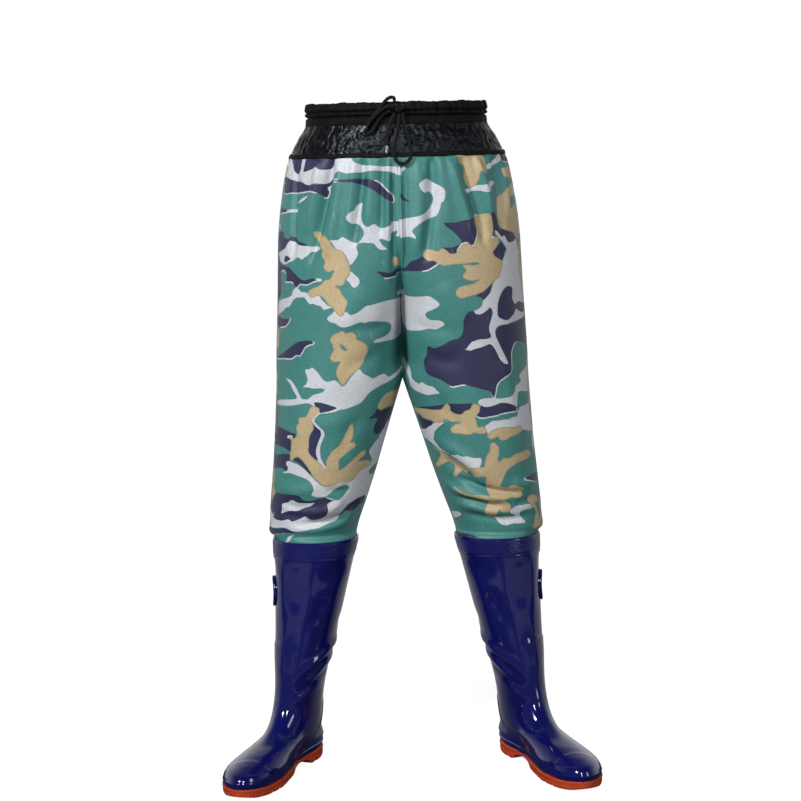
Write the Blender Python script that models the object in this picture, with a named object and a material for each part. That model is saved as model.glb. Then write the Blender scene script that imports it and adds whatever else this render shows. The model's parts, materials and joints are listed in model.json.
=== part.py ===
"""Waist wader: loose trousers welded onto two moulded boots, with a corded waistband.

Metres, +Z up. The front faces -Y and the wader stands on its soles at z = 0.
Each leg is worked out once, as the one on the +X side, and mirrored for the other.
"""

import math
from collections import namedtuple

import bmesh
import bpy
from mathutils import Vector

# Driving sizes
WADER_HEIGHT = 1.035
BOOT_HEIGHT = 0.358
SOLE_LENGTH = 0.292
TOE_OUT = math.radians(22.0)
SHAFT_LEAN = math.tan(math.radians(5.3))
HEEL_OUT = 0.1605
HEEL_BACK = 0.0788
BODY_BACK = 0.0608

# Walls and gaps
CLOTH_WALL = 0.0009
BOOT_WALL = 0.0020
BAND_WALL = 0.0010
GAP = 0.0003
INSOLE_THICK = 0.0030

# Trousers: height of the band seam, of the fork and of the edge tucked into the boot
BAND_SEAM_HEIGHT = 0.9550
FORK_HEIGHT = 0.605
TUCK_DEPTH = 0.018
TUCK_CLEARANCE = 0.0010
TUCK_RISE = 0.0018
TUCK_TAPER = 0.13
VALLEY_ROUNDING = 0.120

# Mesh fineness
LEG_COLUMNS = 20
BOOT_COLUMNS = 26
BAND_COLUMNS = 40
CORD_BEVEL_RESOLUTION = 2

# Waistband
CASING_BASE = 0.9985
CASING_THICK = 0.0065
BINDING_HEIGHT = 0.0080
BINDING_THICK = 0.0016

# Raised seams of the trousers
SEAM_HALF_WIDTH = 0.0055
SEAM_PROUD = 0.0009
SEAM_GAP = 0.0008
FRONT_SEAM_FOOT = 0.740
OUTSEAM_FOOT = 0.392

# Boot overlays
CUFF_HEIGHT = 0.030
CUFF_PROUD = 0.0011
CUFF_BEAD = 0.0019
COUNTER_FOOT = 0.024
COUNTER_TOP = 0.104
COUNTER_PROUD = 0.0013
COUNTER_SPAN = 4
BADGE_HEIGHT = 0.274
BADGE_TALL = 0.048
BADGE_WIDE = 0.034
BADGE_PROUD = 0.0042
BADGE_DISH = 0.0012

# Outsole
SOLE_LEDGE = 0.0022
LUG_DEPTH = 0.0026
GROOVE_WIDTH = 0.0034
GROOVE_DRAFT = 0.0004
FOREFOOT_GROOVES = 5
HEEL_GROOVES = 2
FOREFOOT_TREAD = (0.148, 0.234)
HEEL_TREAD = (0.022, 0.056)

# Drawcord
CORD_DIAMETER = 0.0052
KNOT_WIDE = 0.019
KNOT_TALL = 0.015
KNOT_DEEP = 0.012
KNOT_OUT = 0.004
KNOT_HEIGHT = 1.0255
TIP_LENGTH = 0.012
TIP_DIAMETER = 0.0048

# Sections of the body and of one leg, from the waist down to the boot. The section is an ellipse at
# centre_out from the middle, so the two legs' ellipses cross above the fork and part below it.
BodySection = namedtuple("BodySection", "height centre_out half_width centre_back half_depth")
BODY_SECTIONS = [
    BodySection(1.035, 0.000, 0.1425, 0.000, 0.104),
    BodySection(1.000, 0.000, 0.1450, 0.000, 0.106),
    BodySection(0.980, 0.000, 0.1545, 0.000, 0.110),
    BodySection(0.955, 0.004, 0.1630, 0.001, 0.115),
    BodySection(0.930, 0.010, 0.1640, 0.002, 0.118),
    BodySection(0.890, 0.022, 0.1595, 0.004, 0.121),
    BodySection(0.840, 0.038, 0.1500, 0.006, 0.124),
    BodySection(0.790, 0.053, 0.1375, 0.006, 0.124),
    BodySection(0.740, 0.068, 0.1245, 0.005, 0.121),
    BodySection(0.690, 0.082, 0.1130, 0.003, 0.116),
    BodySection(0.645, 0.093, 0.1040, 0.000, 0.110),
    BodySection(FORK_HEIGHT, 0.099, 0.0990, -0.003, 0.105),
    BodySection(0.560, 0.1075, 0.0930, -0.007, 0.099),
    BodySection(0.510, 0.1170, 0.0866, -0.011, 0.092),
    BodySection(0.460, 0.1270, 0.0810, -0.013, 0.085),
    BodySection(0.415, 0.1370, 0.0755, -0.013, 0.078),
    BodySection(0.385, 0.1440, 0.0715, -0.011, 0.0725),
    BodySection(0.367, 0.1473, 0.0690, -0.0102, 0.0690),
]

# Sections of the boot by height: how far they reach back and forward along the foot from the heel,
# their half width, and how much of the foot's own outline they have.
BootSection = namedtuple("BootSection", "height back front half_width foot")
BOOT_SECTIONS = [
    BootSection(0.0140, 0.0040, 0.2885, 0.0422, 1.00),
    BootSection(0.0230, 0.0005, 0.2912, 0.0445, 1.00),
    BootSection(0.0330, -0.0005, 0.2865, 0.0430, 0.90),
    BootSection(0.0420, -0.0005, 0.2640, 0.0385, 0.55),
    BootSection(0.0500, -0.0003, 0.2250, 0.0345, 0.20),
    BootSection(0.0570, 0.0002, 0.1800, 0.0328, 0.05),
    BootSection(0.0650, 0.0012, 0.1600, 0.0325, 0.00),
    BootSection(0.0760, 0.0030, 0.1450, 0.0325, 0.00),
    BootSection(0.0880, 0.0055, 0.1360, 0.0328, 0.00),
    BootSection(0.1030, 0.0075, 0.1300, 0.0332, 0.00),
    BootSection(0.1220, 0.0085, 0.1250, 0.0345, 0.00),
    BootSection(0.1450, 0.0080, 0.1205, 0.0375, 0.00),
    BootSection(0.1800, 0.0010, 0.1165, 0.0435, 0.00),
    BootSection(0.2250, -0.0067, 0.1125, 0.0492, 0.00),
    BootSection(0.2750, -0.0135, 0.1105, 0.0560, 0.00),
    BootSection(0.3280, -0.0205, 0.1093, 0.0635, 0.00),
    BootSection(BOOT_HEIGHT, -0.0255, 0.1095, 0.0675, 0.00),
]

# The foot's outline from above: share of the length from the heel, centre towards the outside, half width.
FootPlan = namedtuple("FootPlan", "along centre_out half_width")
FOOT_PLAN = [
    FootPlan(0.00, 0.0000, 0.0310),
    FootPlan(0.15, 0.0000, 0.0325),
    FootPlan(0.40, 0.0040, 0.0325),
    FootPlan(0.55, 0.0040, 0.0395),
    FootPlan(0.70, 0.0030, 0.0452),
    FootPlan(0.80, 0.0020, 0.0430),
    FootPlan(0.90, -0.0010, 0.0360),
    FootPlan(1.00, -0.0060, 0.0265),
]
END_ROUNDING = 8

# Height of the sole's top edge and of its tread along the foot.
SoleProfile = namedtuple("SoleProfile", "along top tread")
SOLE_PROFILE = [
    SoleProfile(0.000, 0.0185, 0.0035),
    SoleProfile(0.045, 0.0185, 0.0000),
    SoleProfile(0.235, 0.0180, 0.0000),
    SoleProfile(0.290, 0.0175, 0.0080),
    SoleProfile(0.370, 0.0160, 0.0110),
    SoleProfile(0.440, 0.0145, 0.0075),
    SoleProfile(0.490, 0.0138, 0.0000),
    SoleProfile(0.830, 0.0138, 0.0000),
    SoleProfile(0.920, 0.0148, 0.0014),
    SoleProfile(1.000, 0.0168, 0.0062),
]

# Side of the sole, from its top edge down to the tread: share of the height, step out from the outline.
SoleSide = namedtuple("SoleSide", "share proud")
SOLE_SIDE = [
    SoleSide(0.00, -0.0006),
    SoleSide(0.12, 0.0006),
    SoleSide(0.34, 0.0000),
    SoleSide(0.80, -0.0004),
    SoleSide(1.00, -0.0022),
]

# Drawcord routes at the middle of the front, seen from the front: out, up and forward of the casing.
CordPoint = namedtuple("CordPoint", "out height forward")
LEFT_LOOP = [
    CordPoint(-0.0015, 1.0355, 0.0075),
    CordPoint(-0.0040, 1.0410, 0.0075),
    CordPoint(-0.0120, 1.0395, 0.0065),
    CordPoint(-0.0220, 1.0290, 0.0050),
    CordPoint(-0.0340, 1.0150, 0.0035),
    CordPoint(-0.0440, 1.0020, 0.0026),
    CordPoint(-0.0475, 0.9930, 0.0026),
    CordPoint(-0.0430, 0.9875, 0.0030),
    CordPoint(-0.0355, 0.9930, 0.0035),
    CordPoint(-0.0290, 1.0050, 0.0040),
    CordPoint(-0.0200, 1.0160, 0.0050),
    CordPoint(-0.0085, 1.0215, 0.0065),
]
HANGING_LOOP = [
    CordPoint(0.0045, 1.0160, 0.0065),
    CordPoint(0.0035, 1.0060, 0.0068),
    CordPoint(0.0010, 0.9890, 0.0090),
    CordPoint(-0.0035, 0.9690, 0.0130),
    CordPoint(-0.0045, 0.9560, 0.0155),
    CordPoint(-0.0005, 0.9455, 0.0170),
    CordPoint(0.0080, 0.9415, 0.0173),
    CordPoint(0.0170, 0.9460, 0.0170),
    CordPoint(0.0215, 0.9570, 0.0155),
    CordPoint(0.0195, 0.9700, 0.0130),
    CordPoint(0.0150, 0.9900, 0.0090),
    CordPoint(0.0110, 1.0070, 0.0068),
    CordPoint(0.0100, 1.0170, 0.0065),
]
HANGING_END = [
    CordPoint(-0.0020, 1.0165, 0.0085),
    CordPoint(-0.0065, 1.0095, 0.0085),
    CordPoint(-0.0105, 0.9980, 0.0088),
    CordPoint(-0.0135, 0.9840, 0.0105),
    CordPoint(-0.0150, 0.9690, 0.0130),
]
LEFT_END = [
    CordPoint(-0.0065, 1.0290, 0.0135),
    CordPoint(-0.0150, 1.0270, 0.0125),
    CordPoint(-0.0265, 1.0195, 0.0105),
    CordPoint(-0.0370, 1.0095, 0.0095),
    CordPoint(-0.0460, 0.9995, 0.0085),
]
CORD_STEP = 0.0090

# Colours, linear, with roughness
Finish = namedtuple("Finish", "colour roughness")
FINISHES = {
    "trouser_cloth": Finish((0.045, 0.185, 0.145), 0.42),
    "band_cloth": Finish((0.008, 0.008, 0.009), 0.70),
    "boot_rubber": Finish((0.012, 0.014, 0.150), 0.12),
    "sole_rubber": Finish((0.340, 0.060, 0.022), 0.60),
    "insole_felt": Finish((0.120, 0.120, 0.125), 0.85),
    "cord": Finish((0.007, 0.007, 0.008), 0.75),
    "tip": Finish((0.550, 0.550, 0.560), 0.25),
}


def smooth_value(table, key, column, at):
    """Value of a table's column at a key, on a curve that keeps each row and never overshoots between rows."""
    rows = sorted(table, key=lambda row: getattr(row, key))
    keys = [getattr(row, key) for row in rows]
    values = [getattr(row, column) for row in rows]
    if at <= keys[0]:
        return values[0]
    if at >= keys[-1]:
        return values[-1]
    slopes = [(values[i + 1] - values[i]) / (keys[i + 1] - keys[i]) for i in range(len(keys) - 1)]
    tangents = [slopes[0]]
    for before, after in zip(slopes, slopes[1:]):
        tangents.append(0.0 if before * after <= 0 else 2 * before * after / (before + after))
    tangents.append(slopes[-1])
    i = max(k for k in range(len(keys) - 1) if keys[k] <= at)
    width = keys[i + 1] - keys[i]
    t = (at - keys[i]) / width
    return (
        (1 + 2 * t) * (1 - t) ** 2 * values[i]
        + t * (1 - t) ** 2 * width * tangents[i]
        + t * t * (3 - 2 * t) * values[i + 1]
        + t * t * (t - 1) * width * tangents[i + 1]
    )


def body_section(height):
    """The section of the body or of the +X leg at a height."""
    columns = BodySection._fields[1:]
    return BodySection(height, *(smooth_value(BODY_SECTIONS, "height", c, height) for c in columns))


def boot_section(height):
    """The section of the +X boot at a height."""
    columns = BootSection._fields[1:]
    return BootSection(height, *(smooth_value(BOOT_SECTIONS, "height", c, height) for c in columns))


def tucked_section(height):
    """The trouser leg's section inside the boot top, clear of the boot's inner wall."""
    depth = max(0.0, BOOT_HEIGHT - height)
    radius = boot_section(BOOT_HEIGHT).half_width - BOOT_WALL - TUCK_CLEARANCE - depth * TUCK_TAPER
    boot = boot_section(height)
    centre = boot_point(height, (boot.back + boot.front) / 2, 0.0)
    return BodySection(height, centre.x, radius, centre.y - BODY_BACK, radius)


def body_point(section, share, proud=0.0):
    """A point of the +X half of the body: share runs from the inner front, by the outside, to the inner back."""
    ratio = min(1.0, section.centre_out / section.half_width)
    start = math.acos(ratio)
    angle = start + share * (2 * math.pi - 2 * start)
    x = section.centre_out - section.half_width * math.cos(angle)
    y = -section.half_depth * math.sin(angle)
    y += math.copysign(valley_fill(section, x, abs(y)), y)
    normal = Vector((-math.cos(angle) / section.half_width, -math.sin(angle) / section.half_depth, 0.0))
    point = Vector((x, BODY_BACK + section.centre_back + y, section.height))
    return point + normal.normalized() * proud


def valley_fill(section, x, reach):
    """How much the crease between the two legs is filled at x, where this leg's surface reaches that far."""
    ratio = min(1.0, section.centre_out / section.half_width)
    width = VALLEY_ROUNDING * ratio * (1 - ratio * ratio)
    across = (section.centre_out + x) / section.half_width
    other = section.half_depth * math.sqrt(max(0.0, 1 - across * across))
    overlap = max(0.0, width - abs(reach - other)) / max(width, 1e-9)
    return overlap * overlap * width / 4


def end_round(along):
    """Rounding of an outline towards its two ends."""
    return math.sqrt(max(0.0, 1 - abs(2 * along - 1) ** END_ROUNDING))


def foot_half_width(along):
    return smooth_value(FOOT_PLAN, "along", "half_width", along) * end_round(along)


def foot_centre(along):
    return smooth_value(FOOT_PLAN, "along", "centre_out", along)


def sole_height(column, reach):
    return smooth_value(SOLE_PROFILE, "along", column, reach / SOLE_LENGTH)


def boot_point(height, reach, out):
    """A place by the +X boot: reach is along the foot from the heel, out is across it to the outside."""
    x = HEEL_OUT + reach * math.sin(TOE_OUT) + out * math.cos(TOE_OUT) - SHAFT_LEAN * height
    y = HEEL_BACK - reach * math.cos(TOE_OUT) + out * math.sin(TOE_OUT)
    return Vector((x, y, height))


def boot_surface(height, turn):
    """A point of the +X boot's outside: turn runs from 0 at the heel, by the outside, through 0.5 at the toe to 1."""
    section = boot_section(height)
    along = (1 - math.cos(2 * math.pi * turn)) / 2
    widest = max(row.half_width for row in FOOT_PLAN)
    oval = 2 * math.sqrt(max(0.0, along * (1 - along)))
    share = section.foot * foot_half_width(along) / widest + (1 - section.foot) * oval
    side = 1.0 if turn <= 0.5 else -1.0
    out = section.foot * foot_centre(along) + side * section.half_width * share
    reach = section.back + along * (section.front - section.back)
    base = BOOT_SECTIONS[0].height
    flat = BOOT_SECTIONS[5].height
    follow = max(0.0, (flat - height) / (flat - base))
    lift = (sole_height("top", reach) - base + GAP) * follow
    point = boot_point(height, reach, out)
    return point + Vector((0, 0, lift))


def boot_offset(height, turn, proud):
    """A point that stands proud of the boot's outside."""
    step = 0.002
    up = boot_surface(height + step, turn) - boot_surface(height - step, turn)
    around = boot_surface(height, (turn + step) % 1) - boot_surface(height, (turn - step) % 1)
    return boot_surface(height, turn) + up.cross(around).normalized() * proud


def add_object(name, mesh, finish):
    obj = bpy.data.objects.new(name, mesh)
    bpy.context.scene.collection.objects.link(obj)
    obj.data.materials.append(material(finish))
    return obj


def material(name):
    found = bpy.data.materials.get(name)
    if found:
        return found
    made = bpy.data.materials.new(name)
    made.use_nodes = True
    shader = made.node_tree.nodes["Principled BSDF"]
    finish = FINISHES[name]
    shader.inputs["Base Color"].default_value = (*finish.colour, 1.0)
    shader.inputs["Roughness"].default_value = finish.roughness
    shader.inputs["Metallic"].default_value = 0.0
    made.diffuse_color = (*finish.colour, 1.0)
    return made


def mesh_object(name, points, faces, finish, mirror=False):
    """An object from points and faces, with its faces pointing out, mirrored to -X on request."""
    bm = bmesh.new()
    verts = [bm.verts.new((-p[0] if mirror else p[0], p[1], p[2])) for p in points]
    for face in faces:
        bm.faces.new([verts[i] for i in face])
    bmesh.ops.recalc_face_normals(bm, faces=bm.faces)
    mesh = bpy.data.meshes.new(name)
    bm.to_mesh(mesh)
    bm.free()
    mesh.shade_smooth()
    mesh.set_sharp_from_angle(angle=math.radians(40))
    return add_object(name, mesh, finish)


def closed_band(name, rings, finish, mirror=False):
    """A ring-shaped solid: the list of rings goes round its cross-section and the last joins the first."""
    count = len(rings[0])
    points = [p for ring in rings for p in ring]
    faces = []
    for r in range(len(rings)):
        after = (r + 1) % len(rings)
        for i in range(count):
            j = (i + 1) % count
            faces.append((r * count + i, r * count + j, after * count + j, after * count + i))
    return mesh_object(name, points, faces, finish, mirror)


def patch_solid(name, rows, back_rows, finish, mirror=False):
    """A thin solid between a front grid and a back grid of the same size, closed along its four edges."""
    tall, wide = len(rows), len(rows[0])
    points = [p for row in rows for p in row] + [p for row in back_rows for p in row]
    half = tall * wide
    faces = []
    for r in range(tall - 1):
        for i in range(wide - 1):
            a, b = r * wide + i, (r + 1) * wide + i
            faces += [(a, a + 1, b + 1), (a, b + 1, b)]
            faces += [(half + b + 1, half + a + 1, half + a), (half + b, half + b + 1, half + a)]
    edge = [i for i in range(wide)]
    edge += [r * wide + wide - 1 for r in range(1, tall)]
    edge += [(tall - 1) * wide + i for i in range(wide - 2, -1, -1)]
    edge += [r * wide for r in range(tall - 2, 0, -1)]
    for a, b in zip(edge, edge[1:] + edge[:1]):
        faces.append((b, a, half + a, half + b))
    return mesh_object(name, points, faces, finish, mirror)


def solidify(obj, thickness):
    """Gives a sheet its wall, inwards from the modelled outside."""
    wall = obj.modifiers.new("wall", "SOLIDIFY")
    wall.thickness = thickness
    wall.offset = -1.0
    wall.use_even_offset = False
    wall.use_rim = True


def trouser_sections():
    """Sections of the trousers from the band seam down to the edge tucked into the boot."""
    heights = [row.height for row in BODY_SECTIONS if row.height <= BAND_SEAM_HEIGHT]
    sections = [body_section(h) for h in heights]
    sections.append(tucked_section(BOOT_HEIGHT + TUCK_RISE))
    sections.append(tucked_section(BOOT_HEIGHT - TUCK_DEPTH))
    return sections


def build_trousers():
    """Both legs as one hollow shell, joined above the fork along the middle of the front and back."""
    sections = trouser_sections()
    bm = bmesh.new()
    found = {}

    def vertex(side, row, column):
        section = sections[row]
        last = column == LEG_COLUMNS
        if section.height > FORK_HEIGHT:
            key = (0 if column in (0, LEG_COLUMNS) else side, row, column)
        elif section.height == FORK_HEIGHT:
            key = (0, row, 0) if column in (0, LEG_COLUMNS) else (side, row, column)
        else:
            key = (side, row, 0 if last else column)
        if key not in found:
            point = body_point(section, column / LEG_COLUMNS)
            found[key] = bm.verts.new((side * point.x if key[0] else 0.0, point.y, point.z))
        return found[key]

    for side in (1, -1):
        for row in range(len(sections) - 1):
            for column in range(LEG_COLUMNS):
                corners = [(row, column), (row, column + 1), (row + 1, column + 1), (row + 1, column)]
                face = [vertex(side, *corner) for corner in corners]
                bm.faces.new(face if side > 0 else face[::-1])
    bmesh.ops.recalc_face_normals(bm, faces=bm.faces)
    mesh = bpy.data.meshes.new("trousers")
    bm.to_mesh(mesh)
    bm.free()
    mesh.shade_smooth()
    obj = add_object("trousers", mesh, "trouser_cloth")
    solidify(obj, CLOTH_WALL)


def build_trouser_seams():
    """Raised welds: the rise at the middle of the front and back, and one down the outside of each leg."""
    sections = trouser_sections()
    rise = [s for s in sections if s.height >= FRONT_SEAM_FOOT]
    for name, way in (("front_seam", -1), ("back_seam", 1)):
        rows, backs = seam_rows(rise, lambda s, x, proud: seam_point(s, x, way, proud))
        patch_solid(name, rows, backs, "trouser_cloth")
    leg = [s for s in sections if s.height >= OUTSEAM_FOOT]
    for name, mirror in (("outseam_left", False), ("outseam_right", True)):
        rows, backs = seam_rows(leg, outseam_point)
        patch_solid(name, rows, backs, "trouser_cloth", mirror)


def seam_rows(sections, point):
    """Front and back rows of a seam, its top row slid down the cloth to clear the binding."""
    top = BAND_SEAM_HEIGHT - BINDING_HEIGHT / 2 - GAP
    grids = []
    for proud in (SEAM_GAP + SEAM_PROUD, SEAM_GAP):
        rows = [[point(s, x, proud) for x in (-SEAM_HALF_WIDTH, 0.0, SEAM_HALF_WIDTH)] for s in sections]
        share = (rows[0][0].z - top) / (rows[0][0].z - rows[1][0].z)
        rows[0] = [a.lerp(b, share) for a, b in zip(rows[0], rows[1])]
        grids.append(rows)
    return grids


def seam_point(section, x, way, proud):
    """A point on the rise seam, at the front where way is -1 and at the back where it is 1."""
    middle = body_point(section, 0 if way < 0 else 1)
    beside = body_point(section, (1 if way < 0 else LEG_COLUMNS - 1) / LEG_COLUMNS)
    share = abs(x) / beside.x
    return Vector((x, middle.y + share * (beside.y - middle.y) + way * proud, section.height))


def outseam_point(section, y, proud):
    """A point on the outside seam, y forward or back of its middle."""
    share = math.sqrt(1 - (y / section.half_depth) ** 2)
    x = section.centre_out + section.half_width * share + proud
    return Vector((x, BODY_BACK + section.centre_back + y, section.height))


def waist_ring(height, proud):
    """A ring round the waistband at a height."""
    section = body_section(height)
    ring = []
    half = BAND_COLUMNS // 2
    for i in range(half + 1):
        ring.append(body_point(section, i / half, proud))
    for i in range(half - 1, 0, -1):
        point = body_point(section, i / half, proud)
        ring.append(Vector((-point.x, point.y, point.z)))
    return ring


def build_waistband():
    """The gathered casing for the cord, the loose band under it and the binding over its seam."""
    casing_top = WADER_HEIGHT
    edge = CASING_THICK * 0.35
    casing = [
        waist_ring(CASING_BASE, -CASING_THICK + edge),
        waist_ring(CASING_BASE, -edge),
        waist_ring(CASING_BASE + edge, 0.0),
        waist_ring((CASING_BASE + casing_top) / 2, -0.0006),
        waist_ring(casing_top - edge, 0.0),
        waist_ring(casing_top, -edge),
        waist_ring(casing_top, -CASING_THICK + edge),
        waist_ring(casing_top - edge, -CASING_THICK),
        waist_ring(CASING_BASE + edge, -CASING_THICK),
    ]
    closed_band("waist_casing", casing, "band_cloth")
    skirt_low = BAND_SEAM_HEIGHT + GAP
    skirt_high = CASING_BASE - GAP
    heights = [skirt_low, (skirt_low + skirt_high) / 2, skirt_high]
    skirt = [waist_ring(h, -0.0012) for h in heights]
    skirt += [waist_ring(h, -0.0012 - BAND_WALL) for h in reversed(heights)]
    closed_band("waist_skirt", skirt, "band_cloth")
    low = BAND_SEAM_HEIGHT - BINDING_HEIGHT / 2
    high = BAND_SEAM_HEIGHT + BINDING_HEIGHT / 2
    binding = [
        waist_ring(low, GAP),
        waist_ring(low, GAP + BINDING_THICK),
        waist_ring(BAND_SEAM_HEIGHT, GAP + BINDING_THICK * 1.5),
        waist_ring(high, GAP + BINDING_THICK),
        waist_ring(high, GAP),
        waist_ring(BAND_SEAM_HEIGHT, GAP * 2),
    ]
    closed_band("waist_binding", binding, "band_cloth")


def boot_ring(height, proud=0.0):
    turns = [i / BOOT_COLUMNS for i in range(BOOT_COLUMNS)]
    if proud:
        return [boot_offset(height, turn, proud) for turn in turns]
    return [boot_surface(height, turn) for turn in turns]


def build_boot_upper(name, mirror):
    """The moulded boot, open at the top and along the sole."""
    rings = [boot_ring(section.height) for section in BOOT_SECTIONS]
    points = [p for ring in rings for p in ring]
    faces = []
    for r in range(len(rings) - 1):
        for i in range(BOOT_COLUMNS):
            j = (i + 1) % BOOT_COLUMNS
            low, high = r * BOOT_COLUMNS, (r + 1) * BOOT_COLUMNS
            faces += [(low + i, low + j, high + j), (low + i, high + j, high + i)]
    obj = mesh_object(name, points, faces, "boot_rubber", mirror)
    face_away_from_axis(obj)
    solidify(obj, BOOT_WALL)


def face_away_from_axis(obj):
    """Turns an open tube's faces to point out of the tube."""
    mesh = obj.data
    centre = sum((v.co for v in mesh.vertices), Vector()) / len(mesh.vertices)
    lean = sum((p.center - centre).cross(Vector((0, 0, 1))).cross(Vector((0, 0, 1))).dot(p.normal) for p in mesh.polygons)
    if lean > 0:
        mesh.flip_normals()


def build_cuff(name, mirror):
    """The raised band round the boot top, with a bead along its lower edge."""
    low = BOOT_HEIGHT - CUFF_HEIGHT
    bead = 0.0035
    high = BOOT_HEIGHT - 0.0004
    rings = [
        boot_ring(low, GAP),
        boot_ring(low, CUFF_BEAD),
        boot_ring(low + bead, CUFF_BEAD),
        boot_ring(low + bead * 1.3, CUFF_PROUD),
        boot_ring(high, CUFF_PROUD),
        boot_ring(high, GAP),
    ]
    closed_band(name, rings, "boot_rubber", mirror)


def build_counter(name, mirror):
    """The overlay round the heel, on the boot's own rows and columns."""
    heights = [s.height for s in BOOT_SECTIONS if COUNTER_FOOT <= s.height <= COUNTER_TOP]
    turns = [column / BOOT_COLUMNS % 1 for column in range(-COUNTER_SPAN, COUNTER_SPAN + 1)]
    rows = [[boot_offset(height, turn, COUNTER_PROUD) for turn in turns] for height in heights]
    backs = [[boot_offset(height, turn, GAP * 1.5) for turn in turns] for height in heights]
    patch_solid(name, rows, backs, "boot_rubber", mirror)


def build_badge(name, mirror):
    """The plain oval boss on the outside of the shaft, dished inside its rim."""
    turn_middle = outside_turn(BADGE_HEIGHT)
    section = boot_section(BADGE_HEIGHT)
    round_length = 2 * math.pi * section.half_width
    profile = [(1.0, GAP * 3), (1.0, BADGE_PROUD * 0.7), (0.9, BADGE_PROUD), (0.76, BADGE_PROUD)]
    profile += [(0.66, BADGE_PROUD - BADGE_DISH)]
    segments = 16
    points, faces = [], []
    for size, proud in profile:
        for i in range(segments):
            angle = 2 * math.pi * i / segments
            height = BADGE_HEIGHT + size * BADGE_TALL / 2 * math.sin(angle)
            turn = turn_middle + size * BADGE_WIDE / 2 * math.cos(angle) / round_length
            points.append(boot_offset(height, turn, proud))
    for r in range(len(profile) - 1):
        for i in range(segments):
            j = (i + 1) % segments
            low, high = r * segments, (r + 1) * segments
            faces.append((low + i, low + j, high + j, high + i))
    points.append(boot_offset(BADGE_HEIGHT, turn_middle, BADGE_PROUD - BADGE_DISH))
    points.append(boot_offset(BADGE_HEIGHT, turn_middle, GAP * 3))
    last = (len(profile) - 1) * segments
    for i in range(segments):
        j = (i + 1) % segments
        faces.append((last + i, last + j, len(points) - 2))
        faces.append((j, i, len(points) - 1))
    mesh_object(name, points, faces, "boot_rubber", mirror)


def outside_turn(height):
    """The turn at which the boot's shaft reaches furthest out to the side."""
    return max((i / 400 for i in range(200)), key=lambda turn: boot_surface(height, turn).x)


def groove_centres():
    """Reach of the middle of each groove across the tread."""
    places = []
    for count, (start, end) in ((HEEL_GROOVES, HEEL_TREAD), (FOREFOOT_GROOVES, FOREFOOT_TREAD)):
        places += [start + (end - start) * i / (count - 1) for i in range(count)]
    return places


def sole_stations():
    """Reach of each section of the sole and whether it lies in a groove."""
    ends = (0.0006, 0.003, 0.009)
    stations = [(reach, False) for reach in ends]
    stations += [(SOLE_LENGTH - reach, False) for reach in ends]
    stations += [(share * SOLE_LENGTH, False) for share in (0.075, 0.235, 0.262, 0.29, 0.33, 0.37)]
    stations += [(share * SOLE_LENGTH, False) for share in (0.405, 0.44, 0.465, 0.49, 0.83, 0.875, 0.92)]
    for centre in groove_centres():
        for side in (-1, 1):
            edge = centre + side * GROOVE_WIDTH / 2
            stations.append((edge + side * GROOVE_DRAFT, False))
            stations.append((edge - side * GROOVE_DRAFT, True))
    return sorted(stations)


def plan_outline(reach, inset):
    """Centre and half width of the sole's outline at a reach, taken in by an inset."""
    along = min(1.0, max(0.0, (reach - inset) / (SOLE_LENGTH - 2 * inset)))
    ends = end_round(along)
    half = smooth_value(FOOT_PLAN, "along", "half_width", along)
    return foot_centre(along), (half - inset) * ends


def build_outsole(name, mirror):
    """The sole with its heel, raised arch, toe spring and lugs, lofted through sections along the foot."""
    sections = []
    for reach, grooved in sole_stations():
        centre, half = plan_outline(reach, 0.0)
        half = max(half, 0.004)
        top = sole_height("top", reach)
        tread = sole_height("tread", reach) + (LUG_DEPTH if grooved else 0.0)
        side = [(half + row.proud, top + row.share * (tread - top)) for row in SOLE_SIDE]
        outline = side + [(-w, h) for w, h in reversed(side)]
        sections.append([(reach, centre + w, h) for w, h in outline])
    loft_along_foot(name, sections, "sole_rubber", mirror)


def build_insole(name, mirror):
    """The loose footbed inside the boot."""
    inset = SOLE_LEDGE + BOOT_WALL + 0.0042
    count = 17
    sections = []
    for i in range(count):
        along = (1 - math.cos(math.pi * (0.5 + i) / count)) / 2
        reach = inset + along * (SOLE_LENGTH - 2 * inset)
        centre, half = plan_outline(reach, inset)
        low = sole_height("top", reach) + 2 * GAP
        high = low + INSOLE_THICK
        outline = [(-half, high), (0.0, high), (half, high), (half, low), (0.0, low), (-half, low)]
        sections.append([(reach, centre + w, h) for w, h in outline])
    loft_along_foot(name, sections, "insole_felt", mirror)


def loft_along_foot(name, sections, finish, mirror):
    """A closed solid through sections that are lists of reach, out and height."""
    count = len(sections[0])
    points = [sole_point(*place) for section in sections for place in section]
    faces = []
    for s in range(len(sections) - 1):
        for i in range(count):
            j = (i + 1) % count
            low, high = s * count, (s + 1) * count
            faces.append((low + i, low + j, high + j, high + i))
    faces.append(tuple(range(count)))
    faces.append(tuple(reversed(range((len(sections) - 1) * count, len(sections) * count))))
    mesh_object(name, points, faces, finish, mirror)


def sole_point(reach, out, height):
    """A place on the sole, which doesn't lean with the shaft."""
    base = boot_point(BOOT_SECTIONS[0].height, reach, out)
    return Vector((base.x, base.y, height))


def casing_face():
    """The y of the casing's front at the middle."""
    section = body_section((CASING_BASE + WADER_HEIGHT) / 2)
    return BODY_BACK + section.centre_back - section.half_depth


def cord_points(route):
    """Points a step apart on a smooth curve through a route."""
    face = casing_face()
    corners = [Vector((p.out, face - p.forward, p.height)) for p in route]
    padded = [2 * corners[0] - corners[1]] + corners + [2 * corners[-1] - corners[-2]]
    line = []
    for a, b, c, d in zip(padded, padded[1:], padded[2:], padded[3:]):
        steps = max(1, round((c - b).length / CORD_STEP))
        for k in range(steps):
            t = k / steps
            line.append(
                0.5 * (2 * b + (c - a) * t + (2 * a - 5 * b + 4 * c - d) * t**2 + (3 * b - a - 3 * c + d) * t**3)
            )
    return line + [corners[-1]]


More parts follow.
